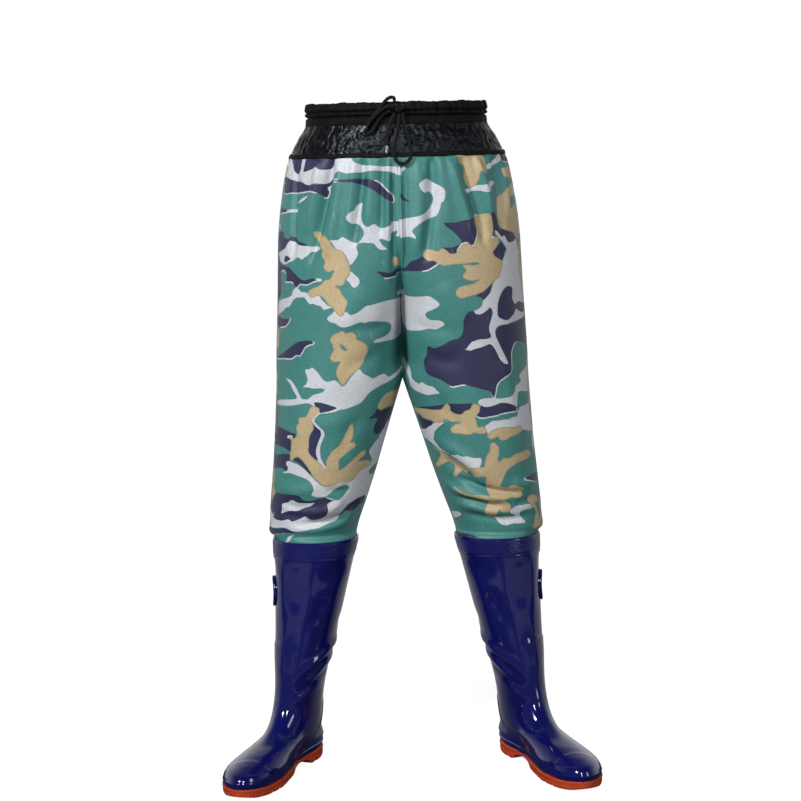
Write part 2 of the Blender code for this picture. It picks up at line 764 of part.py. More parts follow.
def build_cord(name, route):
    curve = bpy.data.curves.new(name, "CURVE")
    curve.dimensions = "3D"
    curve.bevel_depth = CORD_DIAMETER / 2
    curve.bevel_resolution = CORD_BEVEL_RESOLUTION
    curve.use_fill_caps = True
    line = cord_points(route)
    spline = curve.splines.new("POLY")
    spline.points.add(len(line) - 1)
    for point, place in zip(spline.points, line):
        point.co = (*place, 1.0)
    add_object(name, curve, "cord")


def build_tip(name, route):
    """The pressed tip on a cord's end, running on along the cord."""
    line = cord_points(route)
    way = (line[-1] - line[-2]).normalized()
    start = line[-1] + way * GAP
    across = way.orthogonal().normalized()
    other = way.cross(across)
    segments = 10
    profile = [(0.0, 0.40), (0.0006, 0.5), (TIP_LENGTH - 0.0012, 0.5), (TIP_LENGTH, 0.30)]
    points, faces = [], []
    for along, share in profile:
        for i in range(segments):
            angle = 2 * math.pi * i / segments
            radius = share * TIP_DIAMETER
            points.append(start + way * along + (across * math.cos(angle) + other * math.sin(angle)) * radius)
    for r in range(len(profile) - 1):
        for i in range(segments):
            j = (i + 1) % segments
            faces.append((r * segments + i, r * segments + j, (r + 1) * segments + j, (r + 1) * segments + i))
    faces.append(tuple(range(segments)))
    faces.append(tuple(reversed(range((len(profile) - 1) * segments, len(profile) * segments))))
    mesh_object(name, points, faces, "tip")


def build_knot():
    """The bow's knot, a rounded lump against the casing."""
    mesh = bpy.data.meshes.new("drawcord_knot")
    bm = bmesh.new()
    bmesh.ops.create_uvsphere(bm, u_segments=12, v_segments=8, radius=0.5)
    bmesh.ops.scale(bm, vec=(KNOT_WIDE, KNOT_DEEP, KNOT_TALL), verts=bm.verts)
    centre = Vector((KNOT_OUT, casing_face() - KNOT_DEEP / 2 - 2 * GAP, KNOT_HEIGHT))
    bmesh.ops.translate(bm, vec=centre, verts=bm.verts)
    bm.to_mesh(mesh)
    bm.free()
    mesh.shade_smooth()
    add_object("drawcord_knot", mesh, "cord")


def main():
    for obj in list(bpy.data.objects):
        bpy.data.objects.remove(obj)
    build_trousers()
    build_trouser_seams()
    build_waistband()
    for side, mirror in (("left", False), ("right", True)):
        build_boot_upper(f"boot_upper_{side}", mirror)
        build_cuff(f"boot_cuff_{side}", mirror)
        build_counter(f"heel_counter_{side}", mirror)
        build_badge(f"side_badge_{side}", mirror)
        build_outsole(f"outsole_{side}", mirror)
        build_insole(f"insole_{side}", mirror)
    build_knot()
    build_cord("drawcord_loop_side", LEFT_LOOP)
    build_cord("drawcord_loop_hanging", HANGING_LOOP)
    build_cord("drawcord_end_hanging", HANGING_END)
    build_cord("drawcord_end_side", LEFT_END)
    build_tip("cord_tip_hanging", HANGING_END)
    build_tip("cord_tip_side", LEFT_END)


main()
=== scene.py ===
"""Looks of a waist wader: printed cloth trousers on moulded boots, with a corded waistband.

Metres, +Z up, the front towards -Y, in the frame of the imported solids. The wader's sizes are repeated
here, because every dressed piece is worked out on the same surfaces as its solid.
"""

from __future__ import annotations

import json
import logging
import math
from collections.abc import Sequence
from dataclasses import dataclass
from enum import Enum

import bpy
import numpy as np
from mathutils import Matrix, Vector, kdtree

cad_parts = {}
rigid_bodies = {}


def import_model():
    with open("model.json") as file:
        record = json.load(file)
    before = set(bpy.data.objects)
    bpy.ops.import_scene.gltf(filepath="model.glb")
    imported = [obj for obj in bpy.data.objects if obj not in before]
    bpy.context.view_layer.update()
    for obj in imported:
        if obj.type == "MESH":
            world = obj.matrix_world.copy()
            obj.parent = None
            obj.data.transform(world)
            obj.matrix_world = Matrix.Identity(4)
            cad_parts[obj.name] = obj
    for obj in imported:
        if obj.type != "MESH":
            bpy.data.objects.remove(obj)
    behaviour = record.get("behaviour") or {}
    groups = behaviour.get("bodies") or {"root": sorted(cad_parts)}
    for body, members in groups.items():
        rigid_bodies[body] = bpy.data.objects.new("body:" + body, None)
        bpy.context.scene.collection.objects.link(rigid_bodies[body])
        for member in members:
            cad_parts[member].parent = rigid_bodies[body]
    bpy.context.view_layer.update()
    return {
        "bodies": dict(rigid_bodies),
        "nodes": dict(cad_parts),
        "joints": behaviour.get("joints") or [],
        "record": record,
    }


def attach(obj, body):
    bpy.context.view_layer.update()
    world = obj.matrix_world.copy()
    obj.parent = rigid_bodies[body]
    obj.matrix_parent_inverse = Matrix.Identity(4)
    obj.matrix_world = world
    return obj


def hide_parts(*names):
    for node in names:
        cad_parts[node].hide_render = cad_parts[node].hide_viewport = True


LOG = logging.getLogger("waist_wader")
BODY_NAME = "root"

# Driving sizes of the wader
WADER_HEIGHT = 1.035
BOOT_HEIGHT = 0.358
SOLE_LENGTH = 0.292
TOE_OUT = math.radians(22.0)
SHAFT_LEAN = math.tan(math.radians(5.3))
HEEL_OUT = 0.1605
HEEL_BACK = 0.0788
BODY_BACK = 0.0608
BAND_SEAM_HEIGHT = 0.955
FORK_HEIGHT = 0.605
CLOTH_WALL = 0.0009
BOOT_WALL = 0.0020
BAND_WALL = 0.0010
GAP = 0.0003
CASING_BASE = 0.9985
CASING_THICK = 0.0065
MILLIMETRE = 0.001

# Settings that several pieces share
MERGE_DISTANCE = 0.00001
SMOOTH_ALL = 180.0
CREASE_REACH = 3
CREASE_FADE = 5
CREASE_END_SHARE = 0.08
NOISE_SPREAD = (0.3, 0.7)

Colour = tuple[float, float, float, float]
Range = tuple[float, float]
Waves = tuple[tuple[int, float], ...]


class Side(Enum):
    """Which leg: its sign is the sign of X."""

    LEFT = 1
    RIGHT = -1

    @property
    def word(self) -> str:
        """The side's word in the nodes' names."""
        return self.name.lower()

    @property
    def other(self) -> Side:
        """The leg across."""
        return Side(-self.value)

    @property
    def mirror(self) -> np.ndarray:
        """What carries a point of the +X side to this one."""
        return np.array((self.value, 1.0, 1.0))


class Ink(Enum):
    """How one blotch of the print is laid: the last two show what lies under them."""

    GREY = "grey"
    GREY_OVER = "grey laid over navy"
    NAVY = "navy"
    TAN = "tan"
    GAP_IN_TAN = "gap in tan"
    GAP_IN_GREY = "gap in grey"


class Table:
    """Rows of sizes, read between rows on a curve that keeps each row and never overshoots."""

    def __init__(self, names: str, rows: Sequence[Sequence[float]]) -> None:
        """Sorts the rows by their first column and keeps each column by name."""
        columns = np.array(sorted(rows), float).T
        self.columns = dict(zip(names.split(), columns))
        self.key = columns[0]

    def at(self, column: str, place: np.ndarray | float) -> np.ndarray:
        """Reads one column.

        Args:
            column: The column's name.
            place: Places on the first column, held inside its ends.

        Returns:
            The column's value at each place.
        """
        keys, values = self.key, self.columns[column]
        slopes = np.diff(values) / np.diff(keys)
        before, after = slopes[:-1], slopes[1:]
        agree = before * after > 0
        total = np.where(agree, before + after, 1.0)
        middle = np.where(agree, 2 * before * after / total, 0.0)
        tangents = np.concatenate((slopes[:1], middle, slopes[-1:]))
        x = np.clip(place, keys[0], keys[-1])
        i = np.clip(np.searchsorted(keys, x, side="right") - 1, 0, len(keys) - 2)
        width = keys[i + 1] - keys[i]
        t = (x - keys[i]) / width
        return (
            (1 + 2 * t) * (1 - t) ** 2 * values[i]
            + t * (1 - t) ** 2 * width * tangents[i]
            + t * t * (3 - 2 * t) * values[i + 1]
            + t * t * (t - 1) * width * tangents[i + 1]
        )


BODY_ROWS = [
    (1.035, 0.000, 0.1425, 0.000, 0.104),
    (1.000, 0.000, 0.1450, 0.000, 0.106),
    (0.980, 0.000, 0.1545, 0.000, 0.110),
    (0.955, 0.004, 0.1630, 0.001, 0.115),
    (0.930, 0.010, 0.1640, 0.002, 0.118),
    (0.890, 0.022, 0.1595, 0.004, 0.121),
    (0.840, 0.038, 0.1500, 0.006, 0.124),
    (0.790, 0.053, 0.1375, 0.006, 0.124),
    (0.740, 0.068, 0.1245, 0.005, 0.121),
    (0.690, 0.082, 0.1130, 0.003, 0.116),
    (0.645, 0.093, 0.1040, 0.000, 0.110),
    (FORK_HEIGHT, 0.099, 0.0990, -0.003, 0.105),
    (0.560, 0.1075, 0.0930, -0.007, 0.099),
    (0.510, 0.1170, 0.0866, -0.011, 0.092),
    (0.460, 0.1270, 0.0810, -0.013, 0.085),
    (0.415, 0.1370, 0.0755, -0.013, 0.078),
    (0.385, 0.1440, 0.0715, -0.011, 0.0725),
    (0.367, 0.1473, 0.0690, -0.0102, 0.0690),
]
BOOT = Table(
    "height back front half_width foot",
    [
        (0.0140, 0.0040, 0.2885, 0.0422, 1.00),
        (0.0230, 0.0005, 0.2912, 0.0445, 1.00),
        (0.0330, -0.0005, 0.2865, 0.0430, 0.90),
        (0.0420, -0.0005, 0.2640, 0.0385, 0.55),
        (0.0500, -0.0003, 0.2250, 0.0345, 0.20),
        (0.0570, 0.0002, 0.1800, 0.0328, 0.05),
        (0.0650, 0.0012, 0.1600, 0.0325, 0.00),
        (0.0760, 0.0030, 0.1450, 0.0325, 0.00),
        (0.0880, 0.0055, 0.1360, 0.0328, 0.00),
        (0.1030, 0.0075, 0.1300, 0.0332, 0.00),
        (0.1220, 0.0085, 0.1250, 0.0345, 0.00),
        (0.1450, 0.0080, 0.1205, 0.0375, 0.00),
        (0.1800, 0.0010, 0.1165, 0.0435, 0.00),
        (0.2250, -0.0067, 0.1125, 0.0492, 0.00),
        (0.2750, -0.0135, 0.1105, 0.0560, 0.00),
        (0.3280, -0.0205, 0.1093, 0.0635, 0.00),
        (BOOT_HEIGHT, -0.0255, 0.1095, 0.0675, 0.00),
    ],
)
FOOT_FLAT_ROW = 5
FOOT = Table(
    "along centre_out half_width",
    [
        (0.00, 0.0000, 0.0310),
        (0.15, 0.0000, 0.0325),
        (0.40, 0.0040, 0.0325),
        (0.55, 0.0040, 0.0395),
        (0.70, 0.0030, 0.0452),
        (0.80, 0.0020, 0.0430),
        (0.90, -0.0010, 0.0360),
        (1.00, -0.0060, 0.0265),
    ],
)
SOLE = Table(
    "along top tread",
    [
        (0.000, 0.0185, 0.0035),
        (0.045, 0.0185, 0.0000),
        (0.235, 0.0180, 0.0000),
        (0.290, 0.0175, 0.0080),
        (0.370, 0.0160, 0.0110),
        (0.440, 0.0145, 0.0075),
        (0.490, 0.0138, 0.0000),
        (0.830, 0.0138, 0.0000),
        (0.920, 0.0148, 0.0014),
        (1.000, 0.0168, 0.0062),
    ],
)
SOLE_SIDE = Table("share proud", [(0, -0.0006), (0.12, 0.0006), (0.34, 0), (0.80, -0.0004), (1, -0.0022)])
END_ROUNDING = 8

# Routes of the drawcord in millimetres, seen from the front: out, up and forward of the casing.
SIDE_LOOP = [
    (-1.5, 1035.5, 7.5), (-4.0, 1041.0, 7.5), (-12.0, 1039.5, 6.5), (-22.0, 1029.0, 5.0),
    (-34.0, 1015.0, 3.5), (-44.0, 1002.0, 2.6), (-47.5, 993.0, 2.6), (-43.0, 987.5, 3.0),
    (-35.5, 993.0, 3.5), (-29.0, 1005.0, 4.0), (-20.0, 1016.0, 5.0), (-8.5, 1021.5, 6.5),
]
HANGING_LOOP = [
    (4.5, 1016.0, 6.5), (3.5, 1006.0, 6.8), (1.0, 989.0, 9.0), (-3.5, 969.0, 13.0), (-4.5, 956.0, 15.5),
    (-0.5, 945.5, 17.0), (8.0, 941.5, 17.3), (17.0, 946.0, 17.0), (21.5, 957.0, 15.5), (19.5, 970.0, 13.0),
    (15.0, 990.0, 9.0), (11.0, 1007.0, 6.8), (10.0, 1017.0, 6.5),
]
HANGING_END = [
    (-2.0, 1016.5, 8.5), (-6.5, 1009.5, 8.5), (-10.5, 998.0, 8.8), (-13.5, 984.0, 10.5), (-15.0, 969.0, 13.0),
]
SIDE_END = [
    (-6.5, 1029.0, 13.5), (-15.0, 1027.0, 12.5), (-26.5, 1019.5, 10.5), (-37.0, 1009.5, 9.5),
    (-46.0, 999.5, 8.5),
]

# The woodland print as seen from the front: outlines of its blotches in the photograph's pixels.
PRINT: dict[Side, list[tuple[Ink, str]]] = {
    Side.RIGHT: [
        (Ink.GREY, "289,160 292,155 298,154 309,155 336,155 340,153 345,151 350,152 351,158 353,161 "
         "357,163.5 365,165 380,166 390,166.5 400,167 406,168 403,171 399,175 392,172.5 380,171 "
         "365,171.5 352,173 345,173.5 340,172 336,173 333,177 328,182 324,184 316,184 308,185 301,182 "
         "296,181.5 291,179 287,178 287,170"),
        (Ink.GREY, "362,203 360.5,213 361,219 364,225 368,227 374,224 381,228 391,225 391,222 400,221 "
         "408,220 408,236 400,237 396,236 397,231 391,233 391,240.5 388,241 384,239 379,239 380,242 "
         "383,246 388,248.5 384,250 379,249 375,245 373,243 361,243 358,243.5 356,247 358,252 357.5,256 "
         "354,261 350,265 349,262 346,256 342,251 336,248 332,242 331,240 338,240 342,237 348,240 "
         "354,243 359,242 363,237 364,232 361,227 356,224 351,223.5 347,219 347,216 350,213 354,210 "
         "356,206 359,203.5"),
        (Ink.GREY, "278,255 281,251 285,248 287,244 289,241 295,243.5 302,245.5 311,246 318,247 320,249 "
         "315,251.5 310,252.5 307,255.5 304.5,258 302,259.5 297,258 291,261 285,264 281,262 277,262"),
        (Ink.GREY, "279,313 279,303 282,299 286,298 290,297 292,294.5 293,290.5 296,288 299,289.5 301,291.5 "
         "304,292.5 308,293 311,296 315,296.5 319,296 321,299 325,303 327,305.5 331,307 334,307.5 327,309 "
         "324,310 322,307.5 320,306 317,305 312,303.5 310,304.5 307,301 304,297.5 300,297 296,298 293,301 "
         "290,305.5 286,307.5 283,311"),
        (Ink.GREY, "350,271 354,274 358,278 360,282 358.5,285 355,287.5 352,286 349,282 346,279.5 350,275"),
        (Ink.GREY, "334,311 338,315 340.5,317 343,315.5 345.5,311.5 349,314 352,314.5 358,312 362,309 "
         "366,306 372,305 380,303 388,301 395,300 401,299 404,303 405,309 404,316 402,325 402,333 "
         "400,338 394,340 386,341.5 378,342.5 373,343 376,340 382,338 388,334.5 391,330 391,326 388,323 "
         "382,322 374,321.5 368,322 365,323 361,322.5 356,324 350,326 343,327 339,326 335,323.5 330,322 "
         "327,319 329,316 333,313"),
        (Ink.GREY, "305,370 309,369.5 312,367.5 315,370 319,374 322,378.5 326,381.5 330,381.5 334,380.5 "
         "338,382 340.5,385.5 343,386.5 347,383 350,378 355,373 359.5,369.5 363,373 368,376 373,378.5 "
         "378,376 384,374 389,377 394,373.5 400,369 404,367 402,371 394,377 388,381.5 380,386 373,390 "
         "368,394 364,399 360,403 352,407 345,409 340,409.5 335,411.5 327,413 320,414 317,416 315,419 "
         "315,421.5 317,424 321,428 324,431.5 324.5,436 322,441 320.5,447 320,453 321,459 324,464 "
         "326,468 325.5,471 321,466 317,460 315,452 316,445 318.5,438 319,432 315,427 311.5,421 312,417 "
         "314,413 318,409 314,406 308,403.5 300,404 290,406 280,405.5 274,404 274,401 280,400 290,399.5 "
         "296,399 297,397 293,391 290,384 286,378 289,378.5 292,381 296,388 299,394 302,398.5 306,399.5 "
         "309,399 313,395 320,393 325,390.5 321,388.5 313,388.5 307,387 302,388 305,385 307.5,381 "
         "307,376"),
        (Ink.GREY, "287,460 292,462 297,464 303,468 309,474 313,478 318,483 324,487 330,486 336,483 343,481 "
         "350,480 354,478 357,474 360,470 364,468 369,465 372,461 371,457 369,451 372,446 376,441 379,438 "
         "380,434 384,428 388,420 390,412 396,404 392,418 388,432 384,444 380,458 376,472 371,484 367,495 "
         "360,498 353,501 348,504 344,508 342,511.5 341,515 340,518 337,521 332,522.5 325,525 318,527.5 "
         "310,529 303,530.5 297,531.5 292,530.5 287,528.5 280,527.5 274,528 270,525 266,524 267,516 270,508 "
         "272,512 275,515 281,510 300,505 320,503 326,497 320,497 313,496 312,494 314,490 313,486 309,481 "
         "303,477.5 297,475 290,473 283,473 281,472 283,471.5 287,471 288,468 286,464"),
        (Ink.GREY, "283,544 287,539 292,535 295.5,533.5 292,538 287,542.5"),
        (Ink.GREY, "266,537 272,534.5 282,532.5 284,533.5 273,536.3 267,538.3"),
        (Ink.GREY, "295.5,203.8 301,199.5 308.5,195.5 306,199 300.5,202"),
        (Ink.GAP_IN_GREY, "326,497 331,493 336,489 341,486.5 346,485.5 349,486 350,487.5 348,491 344,495 "
         "341,498.5 338,500 334,499.5 330,498"),
        (Ink.GAP_IN_GREY, "379,461 372,466 369,471 370,474 373,472.5 378,467"),
        (Ink.NAVY, "293,155 302,155 302,160 301,165 300,170 298,173.5 296,174 294,172 293,166 292.5,160"),
        (Ink.NAVY, "307,156 312,153.5 336,154 336,158 333,164 330,168 326,170 321,170 318,168.5 316,167 "
         "314,168.5 310,170.5 304,172.5 305,166"),
        (Ink.NAVY, "286,178 291,179.5 296,181.5 301,182 306,184.5 312,185 318,184.5 324,184 328,181 "
         "331,178 334,180 345,180 355,179 365,179 372,180 378,182.5 383,187 388,192 392,196 393,202 "
         "389,200.5 384,198 378,193.5 371,189 362,185 352,183 343,182.2 334,181.5 329,184.5 325,188 "
         "326.5,191 325.5,195 323.5,197.5 321,195 317,192 310,191.5 300,192 292,192 285,192"),
        (Ink.NAVY, "280,208 288,209.5 294,209.5 287,211.5 280,213.5"),
        (Ink.NAVY, "280,231 284,232 284,237 287,239 289,240 287,244 284,249 278,252 277,240"),
        (Ink.NAVY, "289,236.5 294,238 300,241.5 307,244.5 312,246 303,245.5 295,243 289,240"),
        (Ink.NAVY, "285,256.5 287,256 290,258.5 288,260.5 285.5,262 284,260"),
        (Ink.NAVY, "278,264 286,267 290,269 295,273.5 300,279 305,280 310,278.5 316,278.5 321,280 316,280.5 "
         "312,282 308,284 305,284 300,284 297,287 294.5,286 292,282 288,281 285.5,282 287,277 285.5,272 "
         "283,270 279,273"),
        (Ink.NAVY, "375,271 383,272 392,273 396,269 402,271 408,268 408,274 397,275.5 394,277 390,278 "
         "385,277.5 380,274.5"),
        (Ink.NAVY, "278,317 284,318 288,319 290,320 287,324 285,326 281,326.5 278,328"),
        (Ink.NAVY, "277,358 283,353 290,347 297,343 304,341 310,340.5 314,343 309,344.5 305,347 302,352 "
         "299,355.5 296,355 292,358 285,358.5"),
        (Ink.NAVY, "314,403 317,402 322,403 330,405.5 337,408 331,411 325,412 320,413 317,409"),
        (Ink.NAVY, "312,420 314,424 318,428 321,431 321,436 319,440 317,446 316,452 317,458 320,463 322,465 "
         "318,462 312,459 306,455 306,448 309,440 309,434 312,430 312,425"),
        (Ink.NAVY, "276,493 283,493.5 290,494 297,495 301,497 303,500 310,501 318,499 325,498 331,499.5 "
         "334,500.5 330,502 327,504 327.5,509 326,514 322,518 317,520.5 312,520.5 308,519 305,517 301,518.5 "
         "297,520 292,522 288,520 282,521 276,520 273,517 275,514 272,510 271,507 273,500"),
        (Ink.GREY_OVER, "281,513 282,508 282,504 284,503 288,502.5 291,500 294,501 298,503 303,503.5 "
         "310,503.5 315,503 310,506.5 303,509 297,511 290,511 285,512"),
        (Ink.NAVY, "267,525 271,526.5 277,529 284,528 289,529.5 295,531.5 300,532 293,533 285,532.5 276,534 "
         "270,535 266,536"),
        (Ink.NAVY, "274,428 280,428 287,430 292,433 296,434 294,438 291,438 291,446 290,451 284,447.5 "
         "278,444.5 273,443"),
        (Ink.NAVY, "273,456 278,454.5 284,454 290,455 290,460 287,461 286,464 288,468 287,471 283,469 "
         "280,468 273,467"),
        (Ink.NAVY, "290,460 294,461 298,463 304,468 310,474 312,473 307,467 303,462 301,458 297,456 292,458"),
        (Ink.NAVY, "393,405 386,408 380,410.5 377,409 375,413 370,417 368,418.5 372,419 376,417.5 377,420.5 "
         "374.5,425 373.5,430 375,433.5 379,433.5 383,429 387,422 391,413"),
        (Ink.NAVY, "365,495 358,499 352,502 347,507 345,511 349,511.5 354,509 359,505 363,501"),
        (Ink.TAN, "312,234 313.5,231 316,231 319,234 321,236 325,235.5 328,238 331,242 333,246 337,249 "
         "342,251 345,255 347,260 349,264 350,270 350,274 346,279 344,284 341,286 338,285.5 335,287 "
         "339,289 341,292 343,296 348,302 346,306 345,311 343,315 340.5,316.5 338,315 335,311 333,307 "
         "329,306 326,302 324,299 320,296 316,296.5 311,298 308,294 309,291 313,288 318,286.5 321,284 "
         "324,281 330,279 333,274 334,271 332,270.5 330,272 327,272 324,269 323.5,266 325,262 322.5,258 "
         "321.5,254 323,251.5 320,247 316,243 314,239"),
        (Ink.TAN, "340,332 341.5,330.5 344,331.5 346,333.5 350,332 354,333.5 356.5,336.5 356.5,339 "
         "360,341 365,343.5 368.5,348 368,352 365,358 364,363 360,368 354,373 349,378 346,383 343,386 "
         "340.5,385 339,380.5 336.5,376 336,372 338,366 340.5,363 339,361 335,362 331,360 330.5,356.5 "
         "332.5,352 334,349 332,347.5 333,345 330.5,342 331,337.5 334,334.5"),
        (Ink.GAP_IN_TAN, "340,344 343.5,346 347,350 344,350.5 341,347"),
        (Ink.TAN, "393,258 396,257 399,258.5 399,266 395,267 392.5,263"),
        (Ink.TAN, "404,382 399,386 396,389 391,391 386,395 382,400 379,406 380,410 383,409.5 386,407.5 "
         "392,405.5 398,400"),
        (Ink.TAN, "311,407 313.5,406 316,407 318.5,408 320,410.5 319,413 316,416 313,419 312,421 314,425 "
         "314,429 312,432 310,435 309,440 309,446 308,450 310,455 315,459 320,463 324,468 326,471 326,466 "
         "326,461 328,457 333,451 338,447 341,443 344,438 347,432 350,426 352,423.5 353.5,425.5 354,430 "
         "353,436 352,440 350,442.5 353,442.5 355.5,444 355,447 351,450 346,454 341,458 339,460 339,465 "
         "339,470 343,468.5 348,464.5 353,459.5 357,455.5 361,452 364,450.5 366,451.5 365,454 361,458 "
         "358,461.5 362,460.5 367,460 370,460.5 372,462 369,466 364,469 360,471 357,475 354,479 350,481.5 "
         "343,482 337,483.5 332,486.5 327,487 322,485.5 318,482 314,477.5 311,473 307,467 303,462 301,459 "
         "298,457 295,458 292,460 290,459.5 290,454 291,449 291,445 292,442 290,439 288,437 291,436.5 "
         "294,438.5 297,435.5 297,432 296,428 297,425 299,423 298,420 300,417 304,417 307,415.5 309,411"),
        (Ink.TAN, "270,482 274,488 275,493 272,499 269,503 269,490"),
    ],
    Side.LEFT: [
        (Ink.GREY, "398,222 405,219 413,217 421,215 427,211 432,205 434,200 434,196 432,193 428,191.5 "
         "425,193 420,188.5 419,184 421,182 425,179 430,179.5 435,183 441,187 444,190 444.5,196 443,201 "
         "441,203 440,207 437,215 431,218 424,221 418,225 413,229 412,232 415,236 415.5,239 413,238 "
         "408,236.5 398,237"),
        (Ink.GREY, "398,166 402,168.5 403,165.5 407,168.5 402,171.5 401.5,175 398,174"),
        (Ink.GREY, "486,166.5 489,163 493,161.5 496,158.5 498,154 500,153 500.5,159 497,163.5 494,166 "
         "490,168.5 486,170"),
        (Ink.GREY, "464,190 468,188.5 473,187.5 476,185.5 484,184.5 487,182.5 490,181 495,183 491,186.5 "
         "490,191 486,192 480,191 474,190.5 469,193.5 466,191.5"),
        (Ink.GREY_OVER, "495,229.5 498,232.5 502,236.5 504.5,235.5 506.5,239.5 509,242.5 513,241 "
         "516,240 519,256 521,272 523,288 524,301 519,302 515,303.5 513,301 512,297 512.5,291 512,287 "
         "508,286 504,289 501,294 498.5,300 497.5,306 497.5,313 499,317.5 503,319.5 507,319.5 511,317 "
         "514,313 516,308.5 519,311 522,312 526,311 526,314 520,319 514,321.5 507,324 500,325.5 496,328 "
         "495,332 496,337 499,343 502,350 506,358 508,363.5 505,364 502,361.5 499,357 496,351 493,346 "
         "490,344 488,345 481,347.5 475,349 470,350.5 464.5,349 467,348 470,344 474,341 480,339.5 "
         "486,339 491,336.5 489.5,331 489.5,325 491,320 492.5,315 492,310 490,307.5 487,310 483,313.5 "
         "479,314.5 475,313.5 474,311 479,308.5 482,305 483,301 486,298 490,293 492,288 493,284 496,280 "
         "499.5,275 501,270 502.5,262 504,257 505.5,252 506.5,248.5 504,244.5 501,240 497,235.5 "
         "494.5,231"),
        (Ink.GREY, "402,297 410,297 418,297 426,296.5 431,297 435,300 438,302 439.5,304 438,307 433,309.5 "
         "427,312 425,315 427,318 431,320 438,320.5 443,322 445,324.5 442,326.5 438,329 434,330 428,329.5 "
         "420,331 412,331.5 407,330.5 403,325 402,315"),
        (Ink.GREY, "403,360 408,365 411,372 412,377 415,381 419,383.5 422,382.5 427,385 433,387 437,391 "
         "440,393.5 434,394.5 427,395 420,393 415,390 411,386.5 409,381 408,375 404,368"),
        (Ink.GREY, "528,365 523,370 520,375 519.5,377.5 521,380 518,383.5 515,386 514,390 512.5,394 509,397 "
         "503,398.5 497,398.5 490,398 484,398.5 479.5,400 478,402.5 480,405 484,407 489,407 495,405 501,403 "
         "507,403 512,404.5 516.5,406 517,399 518,392.5 522,391 528,389.5"),
        (Ink.GREY, "485,427 488,424 492,421.5 498,420.5 504,420 509,419.5 512,417.5 517,416.5 518,412 "
         "519,408 521,406 525,404.5 531,402.5 532,428 523,429 521,425.5 514,427 507,426.5 500,427.5 "
         "495,429 491,431 488.5,434 487,431"),
        (Ink.GREY, "421,428.5 424,428.5 428,426 433,423 440,422 447,420.5 442,424.5 438,428 435,431.5 "
         "434,436 434,440 437,444 441,448 446,451 451,454 456,454.5 459,454 463,456 468,456 474,458 "
         "481,458 482,460 480.5,465 478,467.5 474,467.5 469,466.5 464,463 459,459.5 453,456 446,452.5 "
         "439,448 433,443.5 428,440 424,436"),
        (Ink.GREY, "510,512 512,509 517,506 523,504.5 529,503.5 532.5,505 531,508 525,509.5 521,511.5 "
         "520,514 522,518 525.5,522 519,523 513,523.5 507,525 502,524.5 498,522 496,519 493,516.5 "
         "497,517 501,517.5 505,516.5 510,517 514,516.5 516,514.5 512,514"),
        (Ink.GREY, "452,511 457,512 461,514 458,517 454,516.5"),
        (Ink.NAVY, "498,150 503,150 505,154 508,160 503,161.5 501,158 499,154"),
        (Ink.NAVY, "400.5,194 403,195.5 406,198.5 409.5,201.5 405,201.5 401.5,199"),
        (Ink.NAVY, "443,223 447,222.5 455,222.5 462,220.5 468,219.5 474,217.5 478,216.5 479,221 480,227 "
         "480,233 478,240 474,246.5 471,246 467,245 463,246 461,240 457,235.5 452,231 447,227"),
        (Ink.NAVY, "442,248 448,247.5 454,246.5 460,244.5 462,247 459,252 455,255 450,254 446,251"),
        (Ink.NAVY, "490,213.5 492,212 494,213 497,218 499,223 501,227 506,229.5 510,231.5 514,233 516,238 "
         "513,241 509,243 507,240 505,236.5 502,237 499,234 496,231.5 494,234 493.5,238 490,239 491,232 "
         "491,226 490,219"),
        (Ink.NAVY, "500,243 502,242 505,246 507,249.5 505,251 504,254 503,258 502,260 497,259 493,255 "
         "493,251.5 496,247.5 498,245"),
        (Ink.NAVY, "398,268 402,270 408,265 411,261.5 417,259 422,256.5 424,257 428,259 434,259 437,263 "
         "433,266.5 428,269.5 421,271 412,271.5 404,272 398,274"),
        (Ink.NAVY, "474,311 468,312.5 464.5,317 463.5,323 463.5,330 461,336 457,339 450,341 445,344 "
         "440,346.5 434,348.5 431,347 428,346.5 426.5,350 426,355 424,361 424.5,368 427,373 433,377 "
         "441,380 447,383.5 452,386.5 458,385.5 464,384.5 470,386 477,388 484,390 490,391.5 492,394 "
         "492.5,398 494.5,396 496,391 496.5,386 498.5,382 503,378 508,374 511,370 511,362 511.5,354 "
         "512.5,347 515,342.5 519,341 527,342 527,320 526,315 515,322 500,326 495,331 491,320 492,310 "
         "488,308 482,313.5"),
        (Ink.NAVY, "508,285 504,288 500,294 497.5,300 496.5,306 496.5,313 498,318.5 503,320.5 507,320.5 "
         "511,318 514,314 516,309 519,312 526,313 525,302 519,302 515,303 513,300 512,296 513,290 512,286"),
        (Ink.NAVY, "498,276 494,278 490,284 487,288 483,291 478,293.5 476,296.5 480,297 483,299.5 486,299 "
         "490,294 493,288 495,283"),
        (Ink.NAVY, "414,407 421,407 430,406.5 440,405.5 449,404 455,404 463,403.5 471,403.5 474,405 470,409 "
         "465,412 462,415 456,415 450,413 446,413 440,412 430,412 420,412"),
        (Ink.NAVY, "477,416 480,411 481,405 484,407 489,407 495,405 501,403 507,403 512,405 516,407 "
         "516.5,410 512,411 504,413 496,415 488,416.5 482,417.5"),
        (Ink.NAVY, "418,413 421,417 427,420 433,422 432,424.5 428,427 425,428.5 422,426 419,419"),
        (Ink.NAVY, "536,472 528,476 522,479 517,478.5 525,479.5 537,481"),
        (Ink.NAVY, "527,497 532,500 536,506 537,512 533,507 528,502"),
        (Ink.NAVY, "456,530 462,533 470,534.5 478,536.5 465,537 458,537"),
        (Ink.TAN, "450,149 455,149 457,151 460,150 481,149 482,154 485,160 486,166 486.5,171 486,174 483,173 "
         "480,171 478.5,174 478.5,180 476,185 473,187.5 470,184 468,178 466.5,172 466,166 463,163 459,162 "
         "458,158 455,155 452,152"),
        (Ink.TAN, "501,168 506,166 509,166 512,172 513,177 507,178 503,177 502,172"),
